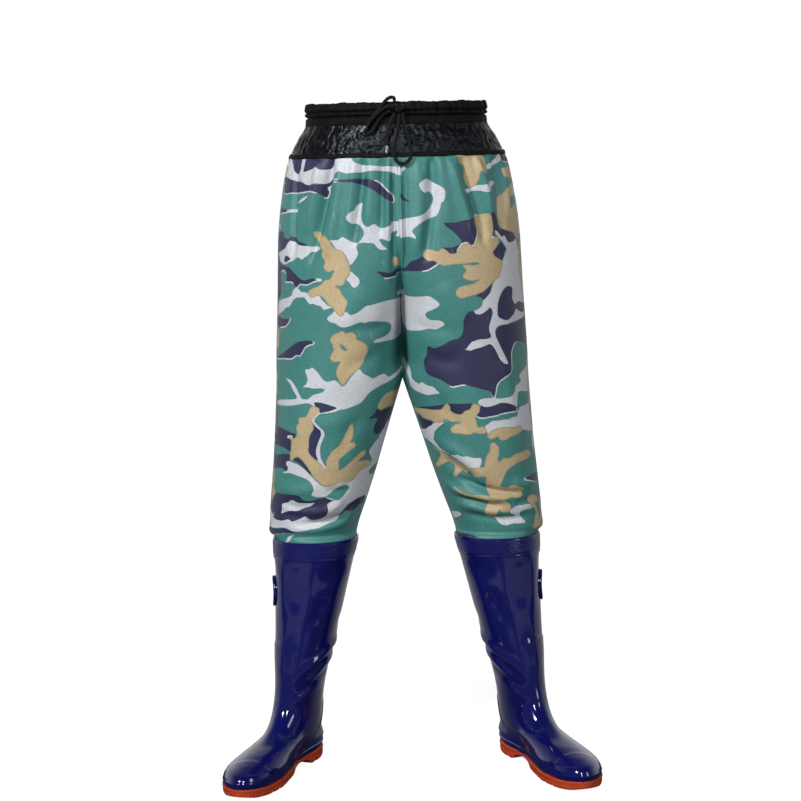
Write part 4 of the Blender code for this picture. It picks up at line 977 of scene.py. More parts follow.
class PrintChart:
    """The print laid on the cloth: distances to the edge of each colour, below zero inside it."""

    cap = 0.012
    curve_step = 0.0016
    trim_reach = 0.0050
    trim_width = 0.0021
    trim_fade = 0.5
    least_facing = 0.06
    nearest_count = 3
    nearest_floor = 0.05
    back_drop = 0.055
    back_shift = 0.030
    top_drop = -0.500
    side_shift = 0.010
    side_rises = (0.085, -0.130)
    side_reach = 0.055
    side_full = 0.016
    side_taper = 1.0
    names = ("print_grey", "print_navy", "print_pale", "print_tan")

    def __init__(self, camera: PhotoCamera) -> None:
        """Keeps the camera that places the chart."""
        self.camera = camera
        self.outlines: dict[Side, list[tuple[Ink, np.ndarray]]] = {}
        self.navy_trim: dict[Side, list[np.ndarray]] = {}
        self.tan_trim: dict[Side, list[np.ndarray]] = {}

    @staticmethod
    def read(text: str) -> np.ndarray:
        """Points written as pairs."""
        return np.array([[float(n) for n in pair.split(",")] for pair in text.split()])

    def place(self, side: Side, points: np.ndarray, normals: np.ndarray, cloth: np.ndarray) -> None:
        """Carries a side's outlines from the photograph onto the cloth.

        Args:
            side: The leg.
            points: Points of the front of the leg.
            normals: Their normals.
            cloth: Their places on the cloth: across from the leg's front line, and up.
        """
        facing = np.array(self.camera.location) - points
        facing /= np.linalg.norm(facing, axis=-1, keepdims=True)
        seen = (facing * normals).sum(axis=-1) > self.least_facing
        pixels, places = self.camera.pixel(points[seen]), cloth[seen]

        def onto_cloth(text: str, closed: bool) -> np.ndarray:
            """One outline or line on the cloth."""
            corners = self.read(text)
            apart = np.linalg.norm(corners[:, None, :] - pixels[None, :, :], axis=2)
            nearest = np.argpartition(apart, self.nearest_count, axis=1)[:, : self.nearest_count]
            weight = 1 / (np.take_along_axis(apart, nearest, axis=1) + self.nearest_floor)
            found = (places[nearest] * weight[..., None]).sum(axis=1) / weight.sum(axis=1, keepdims=True)
            return smooth_line(found, self.curve_step, closed)

        self.outlines[side] = [(ink, onto_cloth(text, True)) for ink, text in PRINT[side]]
        self.navy_trim[side] = [onto_cloth(text, False) for text in NAVY_TRIM[side]]
        self.tan_trim[side] = [onto_cloth(text, False) for text in TAN_TRIM[side]]

    def distance(self, outline: np.ndarray, cloth: np.ndarray) -> np.ndarray:
        """Signed distance of places on the cloth from one outline, held at the cap."""
        result = np.full(len(cloth), self.cap)
        low, high = outline.min(axis=0) - self.cap, outline.max(axis=0) + self.cap
        inside = np.all((cloth > low) & (cloth < high), axis=1)
        places = cloth[inside]
        if not len(places):
            return result
        best = np.full(len(places), self.cap**2)
        within = np.zeros(len(places), bool)
        for a, b in zip(outline, np.roll(outline, -1, axis=0)):
            way = b - a
            t = np.clip(((places - a) @ way) / max(float(way @ way), 1e-12), 0.0, 1.0)
            best = np.minimum(best, ((places - a - t[:, None] * way) ** 2).sum(axis=1))
            if a[1] != b[1]:
                crosses = (places[:, 1] < a[1]) != (places[:, 1] < b[1])
                within ^= crosses & (places[:, 0] < a[0] + (places[:, 1] - a[1]) / way[1] * way[0])
        result[inside] = np.where(within, -1.0, 1.0) * np.sqrt(best)
        return result

    def trim(self, lines: list[np.ndarray], cloth: np.ndarray) -> np.ndarray:
        """Width of the pale edge at places on the cloth, from the lines along which it runs."""
        nearest = np.full(len(cloth), self.trim_reach)
        for line in lines:
            low, high = line.min(axis=0) - self.cap, line.max(axis=0) + self.cap
            close = np.all((cloth > low) & (cloth < high), axis=1)
            if close.any():
                apart = np.linalg.norm(cloth[close][:, None, :] - line[None, :, :], axis=2).min(axis=1)
                nearest[close] = np.minimum(nearest[close], apart)
        return self.trim_width * smooth_step(self.trim_reach - nearest, 0.0, self.trim_reach * self.trim_fade)

    def colours(self, side: Side, cloth: np.ndarray) -> dict[str, np.ndarray]:
        """Distances to each colour's edge for places on one panel.

        Args:
            side: The leg whose front panel the chart comes from.
            cloth: Places on the cloth.

        Returns:
            A distance for each place, by attribute name.
        """
        grey, navy, tan = (np.full(len(cloth), self.cap) for _ in range(3))
        for ink, outline in self.outlines[side]:
            away = self.distance(outline, cloth)
            if ink in (Ink.GREY, Ink.GREY_OVER):
                grey = np.minimum(grey, away)
            if ink is Ink.NAVY:
                navy = np.minimum(navy, away)
            if ink is Ink.TAN:
                tan = np.minimum(tan, away)
        for ink, outline in self.outlines[side]:
            if ink in (Ink.GREY_OVER, Ink.GAP_IN_TAN, Ink.GAP_IN_GREY):
                away = self.distance(outline, cloth)
                navy = np.maximum(navy, -away) if ink is Ink.GREY_OVER else navy
                tan = np.maximum(tan, -away) if ink is Ink.GAP_IN_TAN else tan
                grey = np.maximum(grey, -away) if ink is Ink.GAP_IN_GREY else grey
        line = self.trim(self.navy_trim[side], cloth)
        grey = np.where(line > 0, np.minimum(grey, navy - line), grey)
        line = self.trim(self.tan_trim[side], cloth)
        pale = np.where(line > 0, tan - line, self.cap)
        return dict(zip(self.names, (grey, navy, pale, tan)))


class Wiring:
    """Nodes of one material or node group, made and joined in few words."""

    mix_inputs = (0, 6, 7)
    mix_output = 2

    def __init__(self, tree: bpy.types.NodeTree) -> None:
        """Keeps the tree."""
        self.tree = tree

    def node(self, kind: str, links: dict | None = None, **values) -> bpy.types.Node:
        """Adds a node.

        Args:
            kind: Its type.
            links: What feeds its inputs: a socket, or a value for an unlinked one.
            values: Its own settings.

        Returns:
            The node.
        """
        made = self.tree.nodes.new(kind)
        for name, value in values.items():
            setattr(made, name, value)
        for name, value in (links or {}).items():
            socket = made.inputs[name]
            if isinstance(value, bpy.types.NodeSocket):
                self.tree.links.new(value, socket)
            else:
                socket.default_value = value
        return made

    def math(self, operation: str, *values) -> bpy.types.NodeSocket:
        """A sum, product or other step of two or three values."""
        made = self.node("ShaderNodeMath", dict(enumerate(values)), operation=operation)
        return made.outputs[0]

    def ramp(
        self, value, low: float, high: float, to_low: float = 0.0, to_high: float = 1.0
    ) -> bpy.types.NodeSocket:
        """A value carried from one range to another, held at the ends."""
        links = {"Value": value, "From Min": low, "From Max": high, "To Min": to_low, "To Max": to_high}
        return self.node("ShaderNodeMapRange", links).outputs["Result"]

    def mix(self, factor, first, second, blend: str = "MIX") -> bpy.types.NodeSocket:
        """Two colours mixed."""
        made = self.node("ShaderNodeMix", data_type="RGBA", blend_type=blend)
        for index, value in zip(self.mix_inputs, (factor, first, second)):
            if isinstance(value, bpy.types.NodeSocket):
                self.tree.links.new(value, made.inputs[index])
            else:
                made.inputs[index].default_value = value
        return made.outputs[self.mix_output]

    def noise(self, vector, scale: float, detail: float = 2.0, rough: float = 0.5) -> bpy.types.NodeSocket:
        """Noise at a scale."""
        links = {"Vector": vector, "Scale": scale, "Detail": detail, "Roughness": rough}
        return self.node("ShaderNodeTexNoise", links).outputs["Fac"]

    def bump(self, height, depth: float, strength: float = 1.0, under=None) -> bpy.types.NodeSocket:
        """A bump of a height field, over another normal where one is given."""
        links = {"Height": height, "Distance": depth, "Strength": strength}
        if under is not None:
            links["Normal"] = under
        return self.node("ShaderNodeBump", links).outputs["Normal"]


class Effects:
    """Node groups that more than one material uses."""

    fine_times = 9.0
    fine_share = 0.35
    mottle_spread = (0.42, 0.95)
    thread_turn = 6.283
    scuff_stretch = (3.0, 3.0, 0.7)
    scuff_spread = (0.60, 0.72)
    patch_scale = 7.0
    patch_spread = (0.50, 0.70)

    def __init__(self) -> None:
        """Builds each group once."""
        self.mottle = self.make_mottle()
        self.weave = self.make_weave()
        self.scuff = self.make_scuff()

    @staticmethod
    def open_group(
        name: str, inputs: Sequence[tuple[str, float]], output: str
    ) -> tuple[Wiring, dict, bpy.types.Node]:
        """A new group with number inputs and one number output."""
        tree = bpy.data.node_groups.new(name, "ShaderNodeTree")
        for title, value in inputs:
            socket = tree.interface.new_socket(title, in_out="INPUT", socket_type="NodeSocketFloat")
            socket.default_value = value
        tree.interface.new_socket(output, in_out="OUTPUT", socket_type="NodeSocketFloat")
        wiring = Wiring(tree)
        entry = wiring.node("NodeGroupInput")
        leave = wiring.node("NodeGroupOutput")
        return wiring, {title: entry.outputs[title] for title, _ in inputs}, leave

    def make_mottle(self) -> bpy.types.NodeTree:
        """Soft uneven shade at two sizes."""
        inputs = [("Scale", 20.0), ("Low", 0.9), ("High", 1.05)]
        wiring, sockets, leave = self.open_group("mottle", inputs, "Value")
        place = wiring.node("ShaderNodeTexCoord").outputs["Object"]
        broad = wiring.noise(place, sockets["Scale"], 3.0)
        fine = wiring.noise(place, wiring.math("MULTIPLY", sockets["Scale"], self.fine_times))
        both = wiring.math("MULTIPLY_ADD", fine, self.fine_share, broad)
        result = wiring.ramp(both, *self.mottle_spread, sockets["Low"], sockets["High"])
        wiring.tree.links.new(result, leave.inputs["Value"])
        return wiring.tree

    def make_weave(self) -> bpy.types.NodeTree:
        """Threads that cross, as a height from 0 to 1."""
        wiring, sockets, leave = self.open_group("weave", [("Threads", 900.0)], "Height")
        place = wiring.node("ShaderNodeTexCoord").outputs["Object"]
        parts = wiring.node("ShaderNodeSeparateXYZ", {"Vector": place})
        side = wiring.math("ADD", parts.outputs["X"], parts.outputs["Y"])
        turn = wiring.math("MULTIPLY", sockets["Threads"], self.thread_turn)
        warp = wiring.math("SINE", wiring.math("MULTIPLY", side, turn))
        weft = wiring.math("SINE", wiring.math("MULTIPLY", parts.outputs["Z"], turn))
        both = wiring.math("MULTIPLY", warp, weft)
        wiring.tree.links.new(wiring.math("MULTIPLY_ADD", both, 0.5, 0.5), leave.inputs["Height"])
        return wiring.tree

    def make_scuff(self) -> bpy.types.NodeTree:
        """Thin broken scratches and rubbed patches, as a mask from 0 to 1."""
        wiring, sockets, leave = self.open_group("scuff", [("Scale", 30.0), ("Amount", 0.5)], "Mask")
        place = wiring.node("ShaderNodeTexCoord").outputs["Object"]
        links = {"Vector": place, "Scale": self.scuff_stretch}
        stretched = wiring.node("ShaderNodeMapping", links).outputs["Vector"]
        sharp = wiring.ramp(wiring.noise(stretched, sockets["Scale"], 6.0), *self.scuff_spread)
        where = wiring.ramp(wiring.noise(place, self.patch_scale, 3.0), *self.patch_spread)
        mask = wiring.math("MULTIPLY", wiring.math("MULTIPLY", sharp, where), sockets["Amount"])
        wiring.tree.links.new(mask, leave.inputs["Mask"])
        return wiring.tree


@dataclass(frozen=True)
class Grain:
    """Noise or threads on a surface: how many to a metre, and how deep and how strongly they are raised."""

    scale: float
    depth: float = 0.0
    strength: float = 1.0
    detail: float = 2.0
    rough: float = 0.5


class Finish:
    """A material in the making: its wiring and its shader."""

    def __init__(self, name: str, effects: Effects) -> None:
        """Starts a material with a Principled shader."""
        self.material = bpy.data.materials.new(name)
        self.material.use_nodes = True
        self.wiring = Wiring(self.material.node_tree)
        self.shader = self.material.node_tree.nodes["Principled BSDF"]
        self.effects = effects
        self.place = self.wiring.node("ShaderNodeTexCoord").outputs["Object"]

    def group(self, tree: bpy.types.NodeTree, **values: float) -> bpy.types.NodeSocket:
        """Places a shared effect with its own values."""
        made = self.wiring.tree.nodes.new("ShaderNodeGroup")
        made.node_tree = tree
        for name, value in values.items():
            made.inputs[name.capitalize()].default_value = value
        return made.outputs[0]

    def attribute(self, name: str) -> bpy.types.NodeSocket:
        """A number stored on the mesh."""
        return self.wiring.node("ShaderNodeAttribute", attribute_name=name).outputs["Fac"]

    def tint(self, colour, shade: bpy.types.NodeSocket) -> bpy.types.NodeSocket:
        """A colour darkened and lightened by a shade."""
        grey = self.wiring.node("ShaderNodeCombineColor", {"Red": shade, "Green": shade, "Blue": shade})
        return self.wiring.mix(1.0, colour, grey.outputs["Color"], "MULTIPLY")

    def set(self, **values: float | Colour) -> None:
        """Sets plain values on the shader."""
        for name, value in values.items():
            title = name.replace("_", " ").title().replace("Ior", "IOR")
            self.shader.inputs[title].default_value = value

    def join(self, name: str, socket: bpy.types.NodeSocket) -> None:
        """Feeds one of the shader's inputs."""
        self.wiring.tree.links.new(socket, self.shader.inputs[name])

    def noise(self, grain: Grain) -> bpy.types.NodeSocket:
        """The noise of a grain."""
        return self.wiring.noise(self.place, grain.scale, grain.detail, grain.rough)

    def raised(self, grain: Grain, height, under=None) -> bpy.types.NodeSocket:
        """The normal of a surface raised by a height as deep as a grain."""
        return self.wiring.bump(height, grain.depth, grain.strength, under)

    def woven(self, threads: Grain, under=None) -> bpy.types.NodeSocket:
        """The normal of a surface raised by crossing threads."""
        return self.raised(threads, self.group(self.effects.weave, threads=threads.scale), under)

    def mottled(self, colour, scale: float, shades: Range) -> bpy.types.NodeSocket:
        """A colour with soft uneven shade."""
        low, high = shades
        return self.tint(colour, self.group(self.effects.mottle, scale=scale, low=low, high=high))


@dataclass(frozen=True)
class PrintedCloth:
    """The coated cloth with its woodland print."""

    green: Colour = (0.048, 0.200, 0.184, 1.0)
    grey: Colour = (0.540, 0.560, 0.595, 1.0)
    navy: Colour = (0.024, 0.025, 0.072, 1.0)
    tan: Colour = (0.455, 0.352, 0.200, 1.0)
    brown: Colour = (0.130, 0.100, 0.055, 1.0)
    edge: float = 0.00028
    fray: float = 0.0006
    fray_grain: Grain = Grain(700.0, detail=1.0)
    outline: float = 0.0007
    outline_share: float = 0.45
    scuff_scale: float = 60.0
    scuff_amount: float = 0.22
    mottle_scale: float = 18.0
    mottle: Range = (0.92, 1.06)
    specks: Grain = Grain(480.0)
    speck_spread: Range = (0.28, 0.72)
    speck_shades: Range = (0.84, 1.15)
    sheen: Grain = Grain(46.0, detail=3.0)
    roughness: Range = (0.44, 0.54)
    specular: float = 0.42
    threads: Grain = Grain(620.0, 0.00012, 0.25)
    puckers: Grain = Grain(95.0, 0.0008, 0.35)

    def build(self, effects: Effects) -> bpy.types.Material:
        """Makes the material."""
        made = Finish("printed_cloth", effects)
        wiring = made.wiring
        fray = wiring.math("MULTIPLY_ADD", made.noise(self.fray_grain), self.fray, -self.fray / 2)
        colour = self.green
        for name, ink in zip(PrintChart.names, (self.grey, self.navy, self.grey, self.tan)):
            away = wiring.math("ADD", made.attribute(name), fray)
            colour = wiring.mix(wiring.ramp(away, self.edge, -self.edge), colour, ink)
        rim = wiring.math("ABSOLUTE", wiring.math("ADD", made.attribute("print_tan"), self.outline))
        colour = wiring.mix(wiring.ramp(rim, self.outline, 0.0, 0.0, self.outline_share), colour, self.brown)
        scuff = made.group(effects.scuff, scale=self.scuff_scale, amount=self.scuff_amount)
        colour = wiring.mix(scuff, colour, self.grey)
        low, high = self.mottle
        shade = made.group(effects.mottle, scale=self.mottle_scale, low=low, high=high)
        specks = wiring.ramp(made.noise(self.specks), *self.speck_spread, *self.speck_shades)
        made.join("Base Color", made.tint(colour, wiring.math("MULTIPLY", shade, specks)))
        made.join("Roughness", wiring.ramp(made.noise(self.sheen), *NOISE_SPREAD, *self.roughness))
        woven = made.woven(self.threads)
        made.join("Normal", made.raised(self.puckers, made.noise(self.puckers), woven))
        made.set(specular_ior_level=self.specular)
        return made.material


@dataclass(frozen=True)
class BootRubber:
    """The glossy moulded rubber of the boots."""

    blue: Colour = (0.0045, 0.0060, 0.090, 1.0)
    rubbed: Colour = (0.010, 0.012, 0.120, 1.0)
    scuff_scale: float = 26.0
    scuff_amount: float = 0.45
    mottle_scale: float = 11.0
    mottle: Range = (0.86, 1.10)
    roughness: Range = (0.10, 0.30)
    waviness: Grain = Grain(30.0, 0.0024, 0.30)
    pores: Grain = Grain(900.0, 0.00005, 0.25, 1.0)

    def build(self, effects: Effects) -> bpy.types.Material:
        """Makes the material."""
        made = Finish("boot_rubber_gloss", effects)
        wiring = made.wiring
        scuff = made.group(effects.scuff, scale=self.scuff_scale, amount=self.scuff_amount)
        colour = wiring.mix(scuff, self.blue, self.rubbed)
        made.join("Base Color", made.mottled(colour, self.mottle_scale, self.mottle))
        made.join("Roughness", wiring.ramp(scuff, 0.0, 1.0, *self.roughness))
        wavy = made.raised(self.waviness, made.noise(self.waviness))
        made.join("Normal", made.raised(self.pores, made.noise(self.pores), wavy))
        made.set(specular_ior_level=0.50, coat_weight=0.28, coat_roughness=0.04)
        return made.material


@dataclass(frozen=True)
class SoleRubber:
    """The speckled red sole."""

    red: Colour = (0.520, 0.060, 0.016, 1.0)
    dark: Colour = (0.160, 0.018, 0.008, 1.0)
    pale: Colour = (0.620, 0.120, 0.045, 1.0)
    specks: Grain = Grain(620.0, 0.0003, 0.5)
    dark_specks: Range = (0.55, 0.70)
    pale_specks: Range = (0.40, 0.28)
    mottle_scale: float = 24.0
    mottle: Range = (0.84, 1.10)
    roughness: Range = (0.46, 0.66)

    def build(self, effects: Effects) -> bpy.types.Material:
        """Makes the material."""
        made = Finish("sole_rubber_red", effects)
        wiring = made.wiring
        specks = made.noise(self.specks)
        colour = wiring.mix(wiring.ramp(specks, *self.dark_specks), self.red, self.dark)
        colour = wiring.mix(wiring.ramp(specks, *self.pale_specks), colour, self.pale)
        made.join("Base Color", made.mottled(colour, self.mottle_scale, self.mottle))
        made.join("Roughness", wiring.ramp(specks, *NOISE_SPREAD, *self.roughness))
        made.join("Normal", made.raised(self.specks, specks))
        made.set(specular_ior_level=0.2)
        return made.material


class BandLook(Enum):
    """The three cloths of the waistband."""

    CASING = "casing"
    SKIRT = "skirt"
    BINDING = "binding"


@dataclass(frozen=True)
class BandCloth:
    """The black cloth of the waistband: dull in the casing, shiny and crinkled in the skirt."""

    look: BandLook
    black: Colour = (0.0022, 0.0022, 0.0024, 1.0)
    worn: Colour = (0.0060, 0.0060, 0.0070, 1.0)
    wear_scale: float = 60.0
    crinkles: Grain = Grain(82.0, 0.0050, 0.62, rough=0.55)
    crinkle_spread: Range = (0.35, 0.65)
    mesh: Grain = Grain(420.0, 0.0004, 0.30)
    shiny_roughness: Range = (0.16, 0.32)
    shine_tint: Colour = (0.74, 0.84, 1.0, 1.0)
    lint: Grain = Grain(420.0, 0.0006, 0.6, 3.0)
    knit: Grain = Grain(380.0, 0.0005, 0.5)
    dull_roughness: Range = (0.50, 0.75)

    def build(self, effects: Effects) -> bpy.types.Material:
        """Makes the material."""
        made = Finish(f"band_{self.look.value}", effects)
        wiring = made.wiring
        wear = made.group(effects.mottle, scale=self.wear_scale, low=0.0, high=1.0)
        made.join("Base Color", wiring.mix(wear, self.black, self.worn))
        if self.look is BandLook.SKIRT:
            crinkles = made.noise(self.crinkles)
            surface = made.raised(self.crinkles, crinkles)
            made.join("Normal", made.woven(self.mesh, surface))
            made.join("Roughness", wiring.ramp(crinkles, *self.crinkle_spread, *self.shiny_roughness))
            made.set(specular_ior_level=0.15, specular_tint=self.shine_tint)
            return made.material
        lint = made.noise(self.lint)
        surface = made.raised(self.lint, lint)
        made.join("Normal", made.woven(self.knit, surface))
        made.join("Roughness", wiring.ramp(lint, *NOISE_SPREAD, *self.dull_roughness))
        made.set(specular_ior_level=0.10)
        return made.material


@dataclass(frozen=True)
class CordCloth:
    """The matt braided cord."""

    black: Colour = (0.0030, 0.0030, 0.0034, 1.0)
    worn: Colour = (0.0110, 0.0110, 0.0120, 1.0)
    fibres: Grain = Grain(900.0, 0.0004, 0.6, 3.0)
    worn_spread: Range = (0.40, 0.75)
    roughness: Range = (0.70, 0.92)

    def build(self, effects: Effects) -> bpy.types.Material:
        """Makes the material."""
        made = Finish("drawcord_braid", effects)
        wiring = made.wiring
        fibres = made.noise(self.fibres)
        made.join("Base Color", wiring.mix(wiring.ramp(fibres, *self.worn_spread), self.black, self.worn))
        made.join("Roughness", wiring.ramp(fibres, *NOISE_SPREAD, *self.roughness))
        made.join("Normal", made.raised(self.fibres, fibres))
        made.set(specular_ior_level=0.2, sheen_weight=0.03, sheen_roughness=0.5)
        return made.material


@dataclass(frozen=True)
class TipFoil:
    """The pressed clear tip on a cord's end."""

    pale: Colour = (0.30, 0.30, 0.31, 1.0)
    smoked: Colour = (0.030, 0.030, 0.032, 1.0)
    dents: Grain = Grain(380.0, 0.0006, 0.5)
    smoked_spread: Range = (0.40, 0.62)
    roughness: Range = (0.14, 0.30)

    def build(self, effects: Effects) -> bpy.types.Material:
        """Makes the material."""
        made = Finish("cord_tip_foil", effects)
        wiring = made.wiring
        dents = made.noise(self.dents)
        made.join("Base Color", wiring.mix(wiring.ramp(dents, *self.smoked_spread), self.pale, self.smoked))
        made.join("Roughness", wiring.ramp(dents, *NOISE_SPREAD, *self.roughness))
        made.join("Normal", made.raised(self.dents, dents))
        made.set(coat_weight=0.4, coat_roughness=0.08)
        return made.material


@dataclass(frozen=True)
class InsoleFelt:
    """The grey footbed inside the boot."""

    grey: Colour = (0.115, 0.115, 0.120, 1.0)
    light: Colour = (0.200, 0.200, 0.205, 1.0)
    fuzz: Grain = Grain(800.0, 0.0005, 0.5, 4.0)
    roughness: Range = (0.84, 0.96)

    def build(self, effects: Effects) -> bpy.types.Material:
        """Makes the material."""
        made = Finish("insole_felt_grey", effects)
        wiring = made.wiring
        fuzz = made.noise(self.fuzz)
        made.join("Base Color", wiring.mix(fuzz, self.grey, self.light))
        made.join("Roughness", wiring.ramp(fuzz, *NOISE_SPREAD, *self.roughness))
        made.join("Normal", made.raised(self.fuzz, fuzz))
        return made.material


class Wardrobe:
    """Every material of the wader, each built once."""

    def __init__(self) -> None:
        """Builds the shared effects and then the materials."""
        effects = Effects()
        self.cloth = PrintedCloth().build(effects)
        self.rubber = BootRubber().build(effects)
        self.sole = SoleRubber().build(effects)
        self.casing = BandCloth(BandLook.CASING).build(effects)
        self.skirt = BandCloth(BandLook.SKIRT).build(effects)
        self.binding = BandCloth(BandLook.BINDING).build(effects)
        self.cord = CordCloth().build(effects)
        self.tip = TipFoil().build(effects)
        self.felt = InsoleFelt().build(effects)


@dataclass
class TrouserLeg:
    """One leg of the trousers with half of the body above it."""

    side: Side
    form: LegForm
    front_columns: int = 130
    back_columns: int = 58
    upper_rows: int = 122
    lower_rows: int = 94
    seam_fade: float = 0.006
    hem_bulge: float = 0.0007
    hem_height: float = 0.3705
    hem_width: float = 0.0060
    hem_fade: Range = (0.0005, 0.0060)
    hem_unevenness: float = 0.45
    hem_waves: Waves = ((3, 0.8), (5, 2.2), (8, 4.0))
    gather_lift: float = 0.0019
    gather_reach: float = 0.062
    gather_waves: Waves = ((17, 0.4), (23, 1.9), (31, 3.1))
    crease_step: float = 0.003
    side_seam_half: float = 0.002
    boot_fade: Range = (0.002, 0.016)
    band_fade: Range = (0.002, 0.012)

    def __post_init__(self) -> None:
        """Works out the leg's surface, its folds and its places on the cloth."""
        upper = np.linspace(BAND_SEAM_HEIGHT, FORK_HEIGHT, self.upper_rows)
        lower = np.linspace(FORK_HEIGHT, BOOT_HEIGHT - self.form.tuck_depth, self.lower_rows)
        self.heights = np.concatenate((upper, lower[1:]))
        front = np.linspace(0.0, 0.5, self.front_columns + 1)
        self.shares = np.concatenate((front, np.linspace(0.5, 1.0, self.back_columns + 1)[1:]))
        base = self.form.surface(self.heights[:, None], self.shares[None, :])
        self.base = base * self.side.mirror
        self.normals = sheet_normals(self.base)
        self.front = self.shares <= 0.5
        lengths = np.linalg.norm(np.diff(base, axis=1), axis=2)
        self.around = np.concatenate((np.zeros((len(base), 1)), lengths.cumsum(axis=1)), axis=1)
        start = self.form.start(self.heights)
        self.front_share = (math.pi / 2 - start) / (2 * (math.pi - start))

    def around_at(self, share: np.ndarray) -> np.ndarray:
        """Length round the leg at one share for each row."""
        return np.array([np.interp(s, self.shares, row) for s, row in zip(share, self.around)])[:, None]

    def cloth_places(self) -> np.ndarray:
        """Places on the front panel: across from its front line, positive outwards, and up."""
        across = self.around - self.around_at(self.front_share)
        return np.stack((across, np.broadcast_to(self.heights[:, None], across.shape)), axis=-1)

    def back_places(self, drop: float) -> np.ndarray:
        """Places on the back panel, moved over a front chart that is dropped by some height."""
        across = self.around_at(1 - self.front_share) - self.around
        up = np.broadcast_to(self.heights[:, None], across.shape)
        return np.stack((across + PrintChart.back_shift, up + drop), axis=-1)

    def side_places(self, rise: float) -> np.ndarray:
        """Places along the side seam, moved over the other leg's chart."""
        across = self.around - self.around_at(np.full(len(self.heights), 0.5))
        up = np.broadcast_to(self.heights[:, None] + rise, across.shape)
        return np.stack((across + PrintChart.side_shift, up), axis=-1).reshape(-1, 2)

    def lay_chart(self, chart: PrintChart) -> None:
        """Places this leg's chart on its front panel."""
        cloth = self.cloth_places()[:, self.front]
        chart.place(self.side, self.base[:, self.front], self.normals[:, self.front], cloth)

    def print_values(self, chart: PrintChart) -> dict[str, np.ndarray]:
        """Distances to the print's colours all over the leg."""
        front = self.cloth_places().reshape(-1, 2)
        main = self.back_places(PrintChart.back_drop).reshape(-1, 2)
        top = self.back_places(PrintChart.top_drop).reshape(-1, 2)
        on_front = np.broadcast_to(self.front, self.base.shape[:2]).ravel()
        front_print = chart.colours(self.side, front[on_front])
        back_print = chart.colours(self.side.other, main[~on_front])
        top_print = chart.colours(self.side, top[~on_front])
        high, low = (self.side_places(rise) for rise in PrintChart.side_rises)
        apart = np.abs(high[:, 0] - PrintChart.side_shift)
        near = apart < PrintChart.side_reach
        high_print = chart.colours(self.side.other, high[near])
        low_print = chart.colours(self.side.other, low[near])
        taper = PrintChart.side_taper * np.maximum(0.0, apart[near] - PrintChart.side_full)
        values = {}
        for name in PrintChart.names:
            values[name] = np.zeros(len(front))
            values[name][on_front] = front_print[name]
            values[name][~on_front] = np.minimum(back_print[name], top_print[name])
            strip = np.minimum(high_print[name], low_print[name]) + taper
            values[name][near] = np.minimum(values[name][near], strip)
        return values

    def folds(self) -> np.ndarray:
        """Lift of the cloth from its smooth form: creases, gathers under the band and the bulging hem."""
        lift = np.zeros(self.base.shape[:2])
        for crease in LEG_CREASES[self.side]:
            route = smooth_line(np.array(crease.line) * MILLIMETRE, self.crease_step)
            share = self.form.share_at(route[:, 1], route[:, 0], crease.back)
            line = self.form.surface(route[:, 1], share) * self.side.mirror
            lift += crease_lift(self.base, line, crease.width * MILLIMETRE, crease.lift * MILLIMETRE)
        angle = 2 * math.pi * self.shares[None, :]
        height = self.heights[:, None]
        below_band, above_boot = BAND_SEAM_HEIGHT - height, height - BOOT_HEIGHT
        gathers = self.gather_lift * ripple(angle, self.gather_waves)
        lift += gathers * smooth_step(self.gather_reach - below_band, 0.0, self.gather_reach)
        seam = np.minimum(self.around, self.around[:, -1:] - self.around)
        side_seam = np.abs(self.around - self.around_at(np.full(len(self.heights), 0.5)))
        fade = np.where(height >= FORK_HEIGHT, smooth_step(seam, 0.0, self.seam_fade), 1.0)
        fade = fade * smooth_step(side_seam, self.side_seam_half, self.seam_fade)
        fade = fade * smooth_step(above_boot, *self.boot_fade) * smooth_step(below_band, *self.band_fade)
        bulge = np.exp(-(((height - self.hem_height) / self.hem_width) ** 2))
        bulge = bulge * smooth_step(above_boot, *self.hem_fade)
        uneven = 1 + self.hem_unevenness * ripple(angle, self.hem_waves)
        return lift * fade + self.hem_bulge * bulge * uneven

    def build(self, chart: PrintChart, wardrobe: Wardrobe) -> None:
        """Makes the leg with its print."""
        points = self.form.sink(self.base + self.normals * self.folds()[..., None])
        piece = grid_piece(f"trouser_leg_{self.side.word}", points)
        self.values = self.print_values(chart)
        for name, values in self.values.items():
            set_attribute(piece, name, values)
        close_sheet(piece)
        add_wall(piece, CLOTH_WALL)
        self.piece = finish_piece(piece, wardrobe.cloth, ["trousers"], SMOOTH_ALL)

    def declare(self, hung_from: str, welds: Sequence[bpy.types.Object]) -> None:
        """Does nothing; the leg is left undeclared."""


